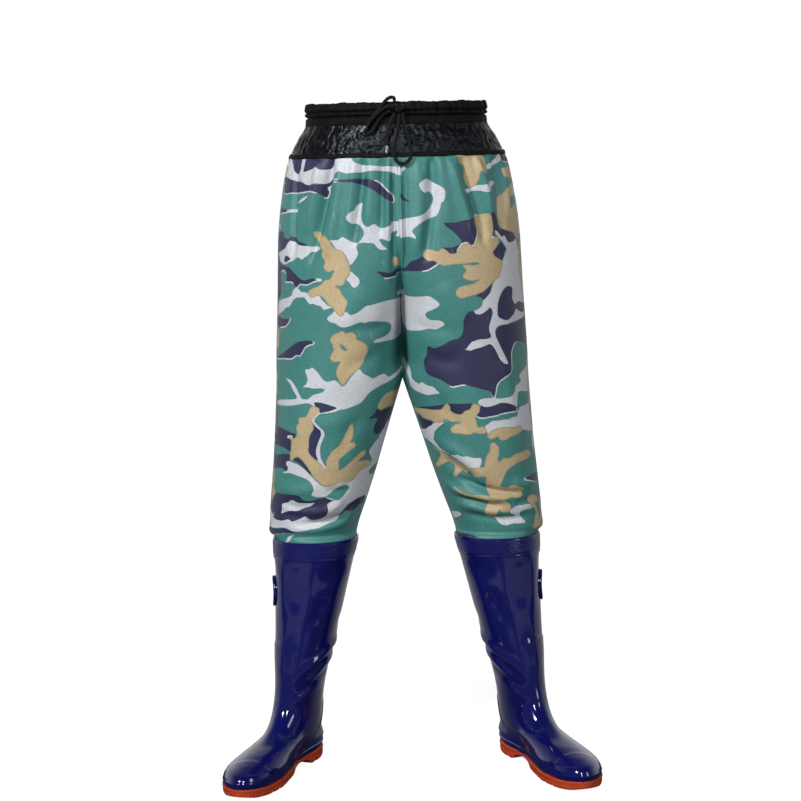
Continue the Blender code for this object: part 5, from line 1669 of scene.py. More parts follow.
@dataclass
class TrouserSeams:
    """The raised welds of the trousers: front and back rise, and one down the outside of each leg."""

    legs: list[TrouserLeg]
    half_width: float = 0.0055
    proud: float = 0.0024
    side_proud: float = 0.0013
    end_fade: float = 0.020
    edge_share: float = 0.22
    sunk: float = 0.0004
    groove_place: float = 0.50
    groove_width: float = 0.16
    groove_depth: float = 0.5
    middle_depth: float = 0.3
    wall: float = 0.0005
    rise_foot: float = 0.740
    outseam_foot: float = 0.392
    top: float = 0.9507
    columns: int = 15
    rows: int = 150

    def __post_init__(self) -> None:
        """Gathers the legs' points, so that a seam takes the print beside it."""
        count = sum(leg.base.shape[0] * leg.base.shape[1] for leg in self.legs)
        self.tree = kdtree.KDTree(count)
        index = 0
        for leg in self.legs:
            for point in leg.base.reshape(-1, 3):
                self.tree.insert(point, index)
                index += 1
        self.tree.balance()
        self.values = {n: np.concatenate([leg.values[n] for leg in self.legs]) for n in PrintChart.names}

    def profile(self, proud: float) -> np.ndarray:
        """Height of the weld across its width: a flat tape with grooves along and beside its middle."""
        across = np.linspace(-1.0, 1.0, self.columns)
        tape = proud * smooth_step(1 - np.abs(across), 0.0, self.edge_share) - self.sunk
        beside = (np.abs(across) - self.groove_place) / self.groove_width
        stitches = self.groove_depth * proud * np.exp(-(beside**2))
        middle = self.middle_depth * proud * np.exp(-((across / self.groove_width) ** 2))
        return tape - stitches - middle

    def rise(self, back: bool) -> np.ndarray:
        """Rows of the rise seam at the front or the back."""
        form = self.legs[0].form
        heights = np.linspace(self.top, self.rise_foot, self.rows)
        out = np.linspace(-self.half_width, self.half_width, self.columns)
        height, x = np.broadcast_arrays(heights[:, None], out[None, :])
        points = form.surface(height, form.share_at(height, x, back))
        points[..., 0] = x
        points = form.sink(points)
        points[..., 1] += (1 if back else -1) * self.profile(self.proud)[None, :]
        return points

    def outseam(self, side: Side) -> np.ndarray:
        """Rows of the seam down the outside of one leg."""
        sections = self.legs[0].form.sections
        heights = np.linspace(self.top, self.outseam_foot, self.rows)
        across = np.linspace(-self.half_width, self.half_width, self.columns)
        height, y = np.broadcast_arrays(heights[:, None], across[None, :])
        bow = np.sqrt(1 - (y / sections.at("half_depth", height)) ** 2)
        fade = smooth_step(height - self.outseam_foot, 0.0, self.end_fade)
        lift = self.profile(self.side_proud)[None, :] * fade
        x = sections.at("centre_out", height) + sections.at("half_width", height) * bow + lift
        y = BODY_BACK + sections.at("centre_back", height) + y
        return np.stack((side.value * x, y, height), axis=-1)

    def build(self, wardrobe: Wardrobe) -> dict[str, bpy.types.Object]:
        """Makes the four welds and gives them back by name."""
        welds = {}
        strips = [("front_seam", self.rise(False), (0, -1)), ("back_seam", self.rise(True), (0, 1))]
        strips += [(f"outseam_{side.word}", self.outseam(side), (side.value, 0)) for side in Side]
        for name, points, way in strips:
            piece = grid_piece(f"{name}_weld", points)
            nearest = [self.tree.find(point)[1] for point in points.reshape(-1, 3)]
            for label, values in self.values.items():
                set_attribute(piece, label, values[nearest])
            face_along(piece, way)
            add_wall(piece, self.wall)
            welds[name] = finish_piece(piece, wardrobe.cloth, [name], SMOOTH_ALL)
        return welds


def face_along(piece: bpy.types.Object, way: tuple[float, float]) -> None:
    """Turns an open strip's faces towards a direction seen from above."""
    normals = np.zeros(len(piece.data.polygons) * 3)
    piece.data.polygons.foreach_get("normal", normals)
    if (normals.reshape(-1, 3)[:, :2] @ np.array(way, float)).sum() < 0:
        flip_faces()


@dataclass
class Waistband:
    """The gathered casing for the cord, the loose band under it and the binding over its seam."""

    form: LegForm
    columns: int = 384
    casing_rows: tuple[int, int] = (57, 13)
    skirt_rows: int = 36
    binding_height: float = 0.0068
    binding_thick: float = 0.0010
    skirt_tuck: float = 0.0030
    draw_in: float = 0.030
    draw_in_start: float = 0.012
    casing_powers: Range = (2.2, 0.45)
    casing_gathers: Waves = ((47, 0.3), (73, 1.7), (109, 4.4), (31, 2.0))
    casing_wander: Waves = ((9, 0.5), (21, 2.6))
    edge_wander: float = 0.0009
    edge_gather: float = 0.0008
    upper_stitch: float = 1.0210
    upper_wander: float = 0.0008
    upper_width: float = 0.0014
    upper_share: float = 0.8
    lower_stitch: float = 1.0135
    lower_wander: float = 0.0006
    lower_width: float = 0.0015
    puff_lift: float = 0.0030
    puff_rises: Range = (0.004, 0.005)
    puff_least: float = 0.6
    gather_lift: float = 0.0022
    gather_least: float = 0.35
    stitch_depth: float = 0.0030
    inside_share: float = 0.3
    skirt_gathers: Waves = ((41, 0.9), (67, 2.3), (97, 0.2))
    skirt_slants: tuple[tuple[float, Waves], ...] = (
        (0.10, ((58, 1.2), (83, 3.3))),
        (-0.13, ((49, 0.7), (76, 5.0))),
    )
    skirt_inset: float = 0.0012
    skirt_gather_lift: float = 0.0008
    skirt_slant_lift: float = 0.0006
    skirt_belly: float = 0.0012
    binding_rows: int = 17
    binding_crown: float = 0.75
    binding_puckers: Waves = ((53, 0.2), (89, 1.4), (37, 3.0))
    binding_wander: Waves = ((13, 0.6), (19, 2.9), (29, 4.1))
    pucker_rise: float = 0.0005
    pucker_lift: float = 0.0003
    wander_rise: float = 0.0010

    def ring(self, height: np.ndarray, proud: np.ndarray) -> np.ndarray:
        """Rows round the waist that stand proud of the body's form.

        Args:
            height: Height of each point, rows by columns.
            proud: How far each point stands out.

        Returns:
            Points, with the last column over the first.
        """
        turn = np.linspace(0.0, 2.0, height.shape[1])
        share = np.where(turn <= 1.0, turn, 2.0 - turn)[None, :]
        points = self.form.surface(height, np.broadcast_to(share, height.shape))
        points[..., 0] *= np.where(turn <= 1.0, 1.0, -1.0)[None, :]
        middle = np.array((0.0, BODY_BACK))
        wide, deep = self.form.sections.at("half_width", height), self.form.sections.at("half_depth", height)
        normal = (points[..., :2] - middle) / np.stack((wide, deep), axis=-1) ** 2
        normal /= np.maximum(np.linalg.norm(normal, axis=-1, keepdims=True), 1e-9)
        points[..., :2] += normal * proud[..., None]
        start = BAND_SEAM_HEIGHT + self.draw_in_start
        points[..., 0] *= 1 - self.draw_in * smooth_step(height, start, WADER_HEIGHT)
        return points

    @property
    def angle(self) -> np.ndarray:
        """Angle of each column round the waist."""
        return np.linspace(0.0, 2 * math.pi, self.columns + 1)

    def casing(self) -> np.ndarray:
        """The puffed casing: a closed section whose outer side is gathered and stitched twice."""
        outside, inside = self.casing_rows
        up = np.concatenate((np.linspace(-1.0, 1.0, outside), np.linspace(1.0, -1.0, inside)[1:]))[:, None]
        side = np.where(np.arange(len(up)) < outside, 1.0, -1.0)[:, None]
        tall = (WADER_HEIGHT - CASING_BASE) / 2
        middle = (WADER_HEIGHT + CASING_BASE) / 2
        bow, fullness = self.casing_powers
        out = side * (1 - np.abs(up) ** bow) ** fullness
        gathers = ripple(self.angle[None, :], self.casing_gathers)
        wander = ripple(self.angle[None, :], self.casing_wander)
        height = middle + tall * up + self.edge_wander * wander * np.abs(up)
        height = height + self.edge_gather * gathers * np.maximum(0, up)
        lower = self.lower_stitch + self.lower_wander * wander
        upper = self.upper_stitch - self.upper_wander * wander
        stitch = np.exp(-(((height - lower) / self.lower_width) ** 2))
        stitch = stitch + self.upper_share * np.exp(-(((height - upper) / self.upper_width) ** 2))
        lower_rise, upper_rise = self.puff_rises
        full = self.puff_least + (1 - self.puff_least) * smooth_step(height, upper, upper + upper_rise)
        puff = smooth_step(height, lower, lower + lower_rise) * full
        ruffle = self.gather_least + (1 - self.gather_least) * smooth_step(height, lower, upper)
        outer = self.puff_lift * puff + self.gather_lift * gathers * ruffle - self.stitch_depth * stitch
        proud = -CASING_THICK / 2 + CASING_THICK / 2 * out
        proud = proud + np.where(out > 0, outer, self.inside_share * outer)
        return self.ring(height, proud)

    def skirt(self) -> np.ndarray:
        """The loose shiny band, gathered at the top and crinkled."""
        low, high = BAND_SEAM_HEIGHT + GAP, CASING_BASE + self.skirt_tuck
        up = np.linspace(0.0, 1.0, self.skirt_rows)[:, None]
        angle = self.angle[None, :]
        height = np.broadcast_to(low + up * (high - low), (self.skirt_rows, self.columns + 1))
        gathers = ripple(angle, self.skirt_gathers)
        slant = sum(ripple(angle + lean * up, waves) for lean, waves in self.skirt_slants)
        belly = np.sin(math.pi * up)
        proud = self.skirt_gather_lift * gathers * up - self.skirt_inset
        proud = proud + (self.skirt_slant_lift * slant + self.skirt_belly) * belly
        return self.ring(height, proud)

    def binding(self) -> np.ndarray:
        """The narrow folded tape over the seam."""
        turn = np.linspace(0.0, 2 * math.pi, self.binding_rows)[:, None]
        angle = self.angle[None, :]
        pucker = ripple(angle, self.binding_puckers)
        wander = ripple(angle, self.binding_wander)
        height = BAND_SEAM_HEIGHT + self.binding_height / 2 * np.sin(turn)
        height = height + self.pucker_rise * pucker + self.wander_rise * wander
        thick = self.binding_thick * self.binding_crown * (1 + np.cos(turn))
        return self.ring(height, GAP + thick + self.pucker_lift * pucker)

    def build(self, wardrobe: Wardrobe) -> bpy.types.Object:
        """Makes the three bands and gives back the loose one."""
        piece = grid_piece("waist_casing_gathered", self.casing())
        close_sheet(piece, False)
        casing = finish_piece(piece, wardrobe.casing, ["waist_casing"], SMOOTH_ALL)
        piece = grid_piece("waist_binding_tape", self.binding())
        close_sheet(piece, False)
        binding = finish_piece(piece, wardrobe.binding, ["waist_binding"], SMOOTH_ALL)
        skirt = self.skirt()
        piece = grid_piece("waist_skirt_crinkled", skirt)
        close_sheet(piece)
        add_wall(piece, BAND_WALL)
        finish_piece(piece, wardrobe.skirt, ["waist_skirt"], SMOOTH_ALL)
        return piece


@dataclass
class Boot:
    """One moulded boot with its cuff, heel counter, badge and sole."""

    side: Side
    form: BootForm
    columns: int = 178
    row_steps: tuple[int, ...] = (5, 8, 14, 16, 16, 12, 8, 7, 7, 7, 8, 10, 10, 10, 10, 8)
    crease_step: float = 0.004
    panel_top: float = 0.1990
    panel_bow: float = 0.000003
    panel_bow_middle: float = 150.0
    panel_top_edge: float = 0.0014
    panel_middle: float = 146.0
    panel_half: float = 48.0
    panel_side_edge: float = 1.6
    panel_fade: Range = (0.110, 0.175)
    panel_lift: float = 0.0012
    toe_cap_edge: Range = (0.236, 0.2375)
    toe_cap_bow: float = 0.06
    toe_cap_lift: float = 0.0005
    rand_edge: Range = (0.0085, 0.0095)
    rand_lift: float = 0.0010
    relief_fade: Range = (-0.004, 0.006)
    cuff_columns: int = 480
    cuff_rows: int = 34
    cuff_height: float = 0.030
    cuff_below_top: float = 0.0004
    cuff_proud: float = 0.0006
    cuff_wall: float = 0.0002
    cuff_bead: float = 0.0010
    bead_height: float = 0.0018
    bead_width: float = 0.0015
    field_foot: Range = (0.0045, 0.0065)
    field_top: Range = (0.0020, 0.0040)
    stipple_length: float = 0.42
    stipple_size: float = 0.0052
    stipple_lift: float = 0.0042
    rim_fade: float = 0.0030
    counter_columns: int = 61
    counter_rows: int = 41
    counter_wall: float = 0.0006
    counter_corner: float = 0.018
    counter_narrowing: float = 0.05
    counter_top_share: float = 1.2
    counter_edge: float = 0.06
    counter_top: float = 0.103
    counter_foot: float = 0.0330
    counter_proud: float = 0.0013
    counter_half_turn: float = 4 / 26
    badge_height: float = 0.274
    badge_tall: float = 0.048
    badge_wide: float = 0.034
    badge_proud: float = 0.0036
    badge_columns: int = 73
    badge_shares: tuple[float, ...] = (
        1.0, 1.0, 0.985, 0.95, 0.90, 0.84, 0.78, 0.74, 0.70, 0.62, 0.5, 0.36, 0.2, 0.0,
    )
    badge_lifts: tuple[float, ...] = (
        -1.0, 0.55, 0.80, 0.94, 1.0, 1.0, 0.99, 0.93, 0.80, 0.72, 0.71, 0.71, 0.72, 0.72,
    )

    def facing(self, points: np.ndarray) -> np.ndarray:
        """Points of the +X boot carried to this side."""
        return points * self.side.mirror

    def upper_heights(self) -> np.ndarray:
        """Heights of the rows, close together over the foot."""
        spans = zip(BOOT.key, BOOT.key[1:], self.row_steps)
        rows = [np.linspace(low, high, count + 1)[:-1] for low, high, count in spans]
        return np.concatenate((*rows, BOOT.key[-1:]))

    def relief(self, heights: np.ndarray, turns: np.ndarray, base: np.ndarray) -> np.ndarray:
        """Lift of the rubber: creases, the shin panel, the toe cap and the rand above the sole."""
        lift = np.zeros(base.shape[:2])
        for crease in BOOT_CREASES:
            route = np.array(crease.line, float)
            route[:, 0] = np.degrees(np.unwrap(np.radians(route[:, 0])))
            route = smooth_line(route * np.array((1 / 360, MILLIMETRE)), self.crease_step)
            line = self.form.surface(route[:, 1], route[:, 0])
            lift += crease_lift(base, line, crease.width * MILLIMETRE, crease.lift * MILLIMETRE)
        height, degrees = heights[:, None], 360 * turns[None, :]
        top = self.panel_top - self.panel_bow * (degrees - self.panel_bow_middle) ** 2
        panel = smooth_step(top - height, 0.0, self.panel_top_edge) * smooth_step(height, *self.panel_fade)
        beside = self.panel_half - np.abs(degrees - self.panel_middle)
        lift += self.panel_lift * panel * smooth_step(beside, 0.0, self.panel_side_edge)
        reach = (HEEL_BACK - base[..., 1]) * math.cos(TOE_OUT) + (base[..., 0] - HEEL_OUT) * math.sin(TOE_OUT)
        bow = self.toe_cap_bow * (np.abs(degrees - 180) / 180) ** 2
        lift += self.toe_cap_lift * smooth_step(reach - bow, *self.toe_cap_edge)
        above = base[..., 2] - SOLE.at("top", reach / SOLE_LENGTH)
        lift += self.rand_lift * (1 - smooth_step(above, *self.rand_edge))
        return lift * smooth_step(BOOT_HEIGHT - self.cuff_height - height, *self.relief_fade)

    def upper(self, wardrobe: Wardrobe) -> None:
        """The boot itself, open at the top and along the sole."""
        heights = self.upper_heights()
        turns = np.linspace(0.0, 1.0, self.columns + 1)
        base = self.form.surface(heights[:, None], turns[None, :])
        base[:, -1] = base[:, 0]
        lift = self.relief(heights, turns, base)
        height, turn = np.broadcast_arrays(heights[:, None], turns[None, :])
        points = self.form.offset(height, turn, lift)
        points[:, -1] = points[:, 0]
        piece = grid_piece(f"boot_upper_{self.side.word}_moulded", self.facing(points))
        close_sheet(piece)
        add_wall(piece, BOOT_WALL)
        finish_piece(piece, wardrobe.rubber, [f"boot_upper_{self.side.word}"])

    def cuff(self, wardrobe: Wardrobe) -> None:
        """The raised band round the boot top, with a bead below and a plain stippled field."""
        low, high = BOOT_HEIGHT - self.cuff_height, BOOT_HEIGHT - self.cuff_below_top
        up = np.linspace(0.0, 1.0, self.cuff_rows)
        turns = np.linspace(0.0, 1.0, self.cuff_columns + 1)
        height = (low + up * (high - low))[:, None] + 0 * turns[None, :]
        bead = np.exp(-(((height - low - self.bead_height) / self.bead_width) ** 2))
        stipple = smooth_step(height - low, *self.field_foot) * smooth_step(high - height, *self.field_top)
        across = turns[None, :] * self.stipple_length
        for way in (1, -1):
            stripes = np.mod(across / self.stipple_size + way * height / self.stipple_size, 1.0)
            stipple = stipple * np.abs(stripes - 0.5)
        proud = self.cuff_proud + (self.cuff_bead - self.cuff_proud) * bead + self.stipple_lift * stipple
        proud = GAP + (proud - GAP) * smooth_step(high - height, 0.0, self.rim_fade)
        outer = self.form.offset(height, turns[None, :] + 0 * height, proud)
        edge = self.form.offset(height[:1], turns[None, :], np.full((1, self.cuff_columns + 1), GAP))
        points = np.concatenate((edge, outer))
        points[:, -1] = points[:, 0]
        piece = grid_piece(f"boot_cuff_{self.side.word}_stippled", self.facing(points))
        close_sheet(piece)
        add_wall(piece, self.cuff_wall)
        finish_piece(piece, wardrobe.rubber, [f"boot_cuff_{self.side.word}"])

    def counter(self, wardrobe: Wardrobe) -> None:
        """The overlay round the heel, with rounded upper corners."""
        across = np.linspace(-1.0, 1.0, self.counter_columns)[None, :]
        up = np.linspace(0.0, 1.0, self.counter_rows)[:, None]
        top = self.counter_top - self.counter_corner * np.abs(across) ** 3
        height = self.counter_foot + up * (top - self.counter_foot)
        turn = across * self.counter_half_turn * (1 - self.counter_narrowing * up) + 0 * height
        edge = np.minimum(1 - np.abs(across), (1 - up) * self.counter_top_share) + 0 * height
        proud = GAP + (self.counter_proud - GAP) * smooth_step(edge, 0.0, self.counter_edge)
        points = self.form.offset(height, turn, proud)
        piece = grid_piece(f"heel_counter_{self.side.word}_overlay", self.facing(points))
        close_sheet(piece)
        add_wall(piece, self.counter_wall)
        finish_piece(piece, wardrobe.rubber, [f"heel_counter_{self.side.word}"])

    def badge(self, wardrobe: Wardrobe) -> None:
        """The plain oval boss on the outside of the shaft, dished inside its rim."""
        middle = self.form.outside_turn(self.badge_height)
        length = 2 * math.pi * float(BOOT.at("half_width", self.badge_height))
        shares, lifts = np.array(self.badge_shares), np.array(self.badge_lifts)
        angle = np.linspace(0.0, 2 * math.pi, self.badge_columns)[None, :]
        height = self.badge_height + shares[:, None] * self.badge_tall / 2 * np.sin(angle)
        turn = middle + shares[:, None] * self.badge_wide / 2 * np.cos(angle) / length
        points = self.form.offset(height, turn, lifts[:, None] * self.badge_proud + 0 * angle)
        points[:, -1] = points[:, 0]
        piece = grid_piece(f"side_badge_{self.side.word}_boss", self.facing(points))
        close_sheet(piece, False)
        face_along(piece, (self.side.value, 0.0))
        finish_piece(piece, wardrobe.rubber, [f"side_badge_{self.side.word}"])

    def dress(self, wardrobe: Wardrobe, frame: dict) -> None:
        """Makes every piece of the boot and finishes its insole."""
        self.upper(wardrobe)
        self.cuff(wardrobe)
        self.counter(wardrobe)
        self.badge(wardrobe)
        Outsole(self.side, self.form).build(wardrobe)
        insole = frame["nodes"][f"insole_{self.side.word}"]
        insole.data.materials.clear()
        insole.data.materials.append(wardrobe.felt)


@dataclass
class Outsole:
    """The sole with its heel, arch, toe spring, lugs and notched edge."""

    side: Side
    form: BootForm
    lug_depth: float = 0.0026
    groove_width: float = 0.0034
    heel_tread: tuple[float, float, int] = (0.022, 0.056, 2)
    forefoot_tread: tuple[float, float, int] = (0.148, 0.234, 5)
    notch_pitch: float = 0.0046
    notch_depth: float = 0.0013
    notch_band: Range = (0.42, 0.50)
    notch_foot: float = 0.06
    welt_place: float = 0.40
    welt_width: float = 0.035
    welt_depth: float = 0.0005
    groove_edge: Range = (-0.0008, 0.0004)
    least_half: float = 0.004
    end_angle: float = 0.06
    end_stations: int = 61
    even_margin: float = 0.006
    even_step: float = 0.00115
    side_rows: int = 22
    tread_columns: int = 26
    cover_columns: int = 9

    def stations(self) -> np.ndarray:
        """Places along the foot, closer together towards heel and toe."""
        angle = np.linspace(self.end_angle, math.pi - self.end_angle, self.end_stations)
        ends = SOLE_LENGTH / 2 * (1 - np.cos(angle))
        even = np.arange(self.even_margin, SOLE_LENGTH - self.even_margin, self.even_step)
        return np.unique(np.concatenate((ends, even)).round(5))

    def grooves(self, reach: np.ndarray) -> np.ndarray:
        """How deep the tread is cut at each reach."""
        cut = np.zeros_like(reach)
        for start, end, count in (self.heel_tread, self.forefoot_tread):
            for centre in np.linspace(start, end, count):
                edge = self.groove_width / 2 - np.abs(reach - centre)
                cut = np.maximum(cut, self.lug_depth * smooth_step(edge, *self.groove_edge))
        return cut

    def build(self, wardrobe: Wardrobe) -> None:
        """Makes the sole as a loft of sections along the foot."""
        reach = self.stations()[:, None]
        along = reach / SOLE_LENGTH
        half = np.maximum(FOOT.at("half_width", along) * end_round(along), self.least_half)
        centre = FOOT.at("centre_out", along)
        top = SOLE.at("top", along)
        tread = SOLE.at("tread", along) + self.grooves(reach)
        share = np.linspace(0.0, 1.0, self.side_rows)[None, :]
        proud = SOLE_SIDE.at("proud", share)
        notch = 0.5 + 0.5 * np.cos(2 * math.pi * reach / self.notch_pitch)
        low = smooth_step(share, *self.notch_band) * smooth_step(1 - share, 0.0, self.notch_foot)
        welt = self.welt_depth * np.exp(-(((share - self.welt_place) / self.welt_width) ** 2))
        proud = proud - self.notch_depth * notch**2 * low - welt
        side_out = half + proud
        side_up = top + share * (tread - top)
        floor = np.linspace(1.0, -1.0, self.tread_columns)[None, 1:-1]
        floor_out = floor * side_out[:, -1:]
        floor_up = tread + 0 * floor
        out = np.concatenate((side_out, floor_out, -side_out[:, ::-1]), axis=1)
        up = np.concatenate((side_up, floor_up, side_up[:, ::-1]), axis=1)
        cover = np.linspace(-1.0, 1.0, self.cover_columns)[None, 1:]
        out = np.concatenate((out, cover * side_out[:, :1]), axis=1) + centre
        up = np.concatenate((up, top + 0 * cover), axis=1)
        base = np.full_like(up, self.form.base)
        points = self.form.place(base, reach + 0 * up, out)
        points[..., 2] = up
        ends = [np.broadcast_to(row.mean(axis=0), row.shape)[None] for row in (points[0], points[-1])]
        points = np.concatenate((ends[0], points, ends[1]))
        piece = grid_piece(f"outsole_{self.side.word}_lugged", points * self.side.mirror)
        close_sheet(piece, False)
        finish_piece(piece, wardrobe.sole, [f"outsole_{self.side.word}"], 50.0)


@dataclass
class Drawcord:
    """The tied cord at the middle of the front: knot, two loops and two ends with pressed tips."""

    form: LegForm
    diameter: float = 0.0052
    braid_columns: int = 18
    braid_step: float = 0.0007
    braid_lift: float = 0.05
    strands: int = 4
    braid_turn: float = 4.0
    tip_length: float = 0.012
    tip_diameter: float = 0.0048
    tip_points: int = 25
    tip_end: Range = (0.86, 0.35)
    tip_neck: Range = (0.06, 0.15)
    crimps: Range = (0.35, 0.65)
    crimp_half: float = 0.05
    crimp_depth: float = 0.00018
    knot_points: int = 181
    knot_squeeze: float = 0.46
    knot_out: float = 0.004
    knot_height: float = 1.0255
    knot_size: tuple[float, float, float] = (0.019, 0.012, 0.015)

    @property
    def face(self) -> float:
        """The y of the casing's front at the middle."""
        sections = self.form.sections
        height = (CASING_BASE + WADER_HEIGHT) / 2
        return float(BODY_BACK + sections.at("centre_back", height) - sections.at("half_depth", height))

    def route(self, points: Sequence[tuple[float, float, float]]) -> np.ndarray:
        """A smooth line through a route's points, in metres."""
        corners = np.array([(out, 0.0, up) for out, up, _ in points]) * MILLIMETRE
        corners[:, 1] = self.face - np.array([p[2] for p in points]) * MILLIMETRE
        return smooth_line(corners, self.braid_step)

    def tube(self, name: str, line: np.ndarray, radius: np.ndarray, braided: bool) -> bpy.types.Object:
        """A closed tube along a line.

        Args:
            name: The piece's name.
            line: Points along its middle.
            radius: Radius at each point.
            braided: Whether strands cross on its surface.

        Returns:
            The piece.
        """
        way = np.gradient(line, axis=0)
        way /= np.linalg.norm(way, axis=1, keepdims=True)
        side = np.zeros_like(way)
        first = np.cross(way[0], (0.0, 1.0, 0.0))
        side[0] = first / np.linalg.norm(first)
        for i in range(1, len(line)):
            turned = side[i - 1] - way[i] * (side[i - 1] @ way[i])
            side[i] = turned / np.linalg.norm(turned)
        other = np.cross(way, side)
        angle = np.linspace(0.0, 2 * math.pi, self.braid_columns + 1)[None, :]
        length = np.concatenate(((0.0,), np.linalg.norm(np.diff(line, axis=0), axis=1).cumsum()))[:, None]
        turns = 2 * math.pi * length / (self.braid_turn * self.diameter)
        strands = np.maximum(*(np.cos(self.strands * (angle + way * turns)) for way in (1, -1)))
        size = radius[:, None] * (1 + (self.braid_lift * strands if braided else 0 * strands))
        points = line[:, None, :] + size[..., None] * (
            side[:, None, :] * np.cos(angle)[..., None] + other[:, None, :] * np.sin(angle)[..., None]
        )
        points[:, -1] = points[:, 0]
        caps = [np.broadcast_to(end, points[0].shape)[None] for end in (line[0], line[-1])]
        piece = grid_piece(name, np.concatenate((caps[0], points, caps[1])))
        close_sheet(piece, False)
        return piece

    def knot(self, wardrobe: Wardrobe) -> bpy.types.Object:
        """The knot: the cord crossed over itself three times and pulled tight."""
        turn = np.linspace(0.0, 2 * math.pi, self.knot_points)
        across = np.sin(turn) + 2 * np.sin(2 * turn)
        up = np.cos(turn) - 2 * np.cos(2 * turn)
        shape = np.stack((across, -np.sin(3 * turn), up), axis=1)
        cord = self.diameter * self.knot_squeeze
        shape = shape / np.abs(shape).max(axis=0) * (np.array(self.knot_size) / 2 - cord)
        front = self.face - self.knot_size[1] / 2 - 2 * GAP
        shape = shape + np.array((self.knot_out, front, self.knot_height))
        piece = self.tube("drawcord_knot_tied", shape, np.full(len(turn), cord), True)
        return finish_piece(piece, wardrobe.cord, ["drawcord_knot"], SMOOTH_ALL)

    def tip(self, name: str, line: np.ndarray, wardrobe: Wardrobe) -> bpy.types.Object:
        """The pressed tip that runs on from a cord's end."""
        way = (line[-1] - line[-2]) / np.linalg.norm(line[-1] - line[-2])
        along = np.linspace(0.0, self.tip_length, self.tip_points)
        middle = line[-1] + (along[:, None] + GAP) * way
        share = along / self.tip_length
        end_start, end_taper = self.tip_end
        neck_length, neck_taper = self.tip_neck
        taper = end_taper * smooth_step(share, end_start, 1.0)
        taper = taper + neck_taper * (1 - smooth_step(share, 0.0, neck_length))
        radius = self.tip_diameter / 2 * (1 - taper)
        for crimp in self.crimps:
            radius = radius - self.crimp_depth * (np.abs(share - crimp) < self.crimp_half)
        piece = self.tube(f"{name}_pressed", middle, radius, False)
        return finish_piece(piece, wardrobe.tip, [name], 60.0)

    def build(self, wardrobe: Wardrobe) -> None:
        knot = self.knot(wardrobe)
        runs = (
            ("drawcord_loop_side", SIDE_LOOP, "object", None),
            ("drawcord_loop_hanging", HANGING_LOOP, "object", None),
            ("drawcord_end_hanging", HANGING_END, "fitting", "cord_tip_hanging"),
            ("drawcord_end_side", SIDE_END, "fitting", "cord_tip_side"),
        )
        for name, points, far_end, tip_name in runs:
            line = self.route(points)
            radius = np.full(len(line), self.diameter / 2)
            piece = self.tube(f"{name}_braid", line, radius, True)
            finish_piece(piece, wardrobe.cord, [name], SMOOTH_ALL)
            if tip_name:
                self.tip(tip_name, line, wardrobe)


@dataclass(frozen=True)
class SoftBox:
    """One area light of the studio. Glossy pieces show it where it is mirrored."""

    name: str
    place: tuple[float, float, float]
    aim: tuple[float, float, float]
    size: tuple[float, float]
    power: float
    mirrored: bool = True

    def build(self) -> None:
        """Makes the light."""
        data = bpy.data.lights.new(self.name, "AREA")
        data.shape = "RECTANGLE"
        data.size, data.size_y = self.size
        data.energy = self.power
        light = bpy.data.objects.new(self.name, data)
        light.location = self.place
        way = Vector(self.aim) - Vector(self.place)
        light.rotation_euler = way.to_track_quat("-Z", "Y").to_euler()
        light.visible_glossy = self.mirrored
        bpy.context.scene.collection.objects.link(light)


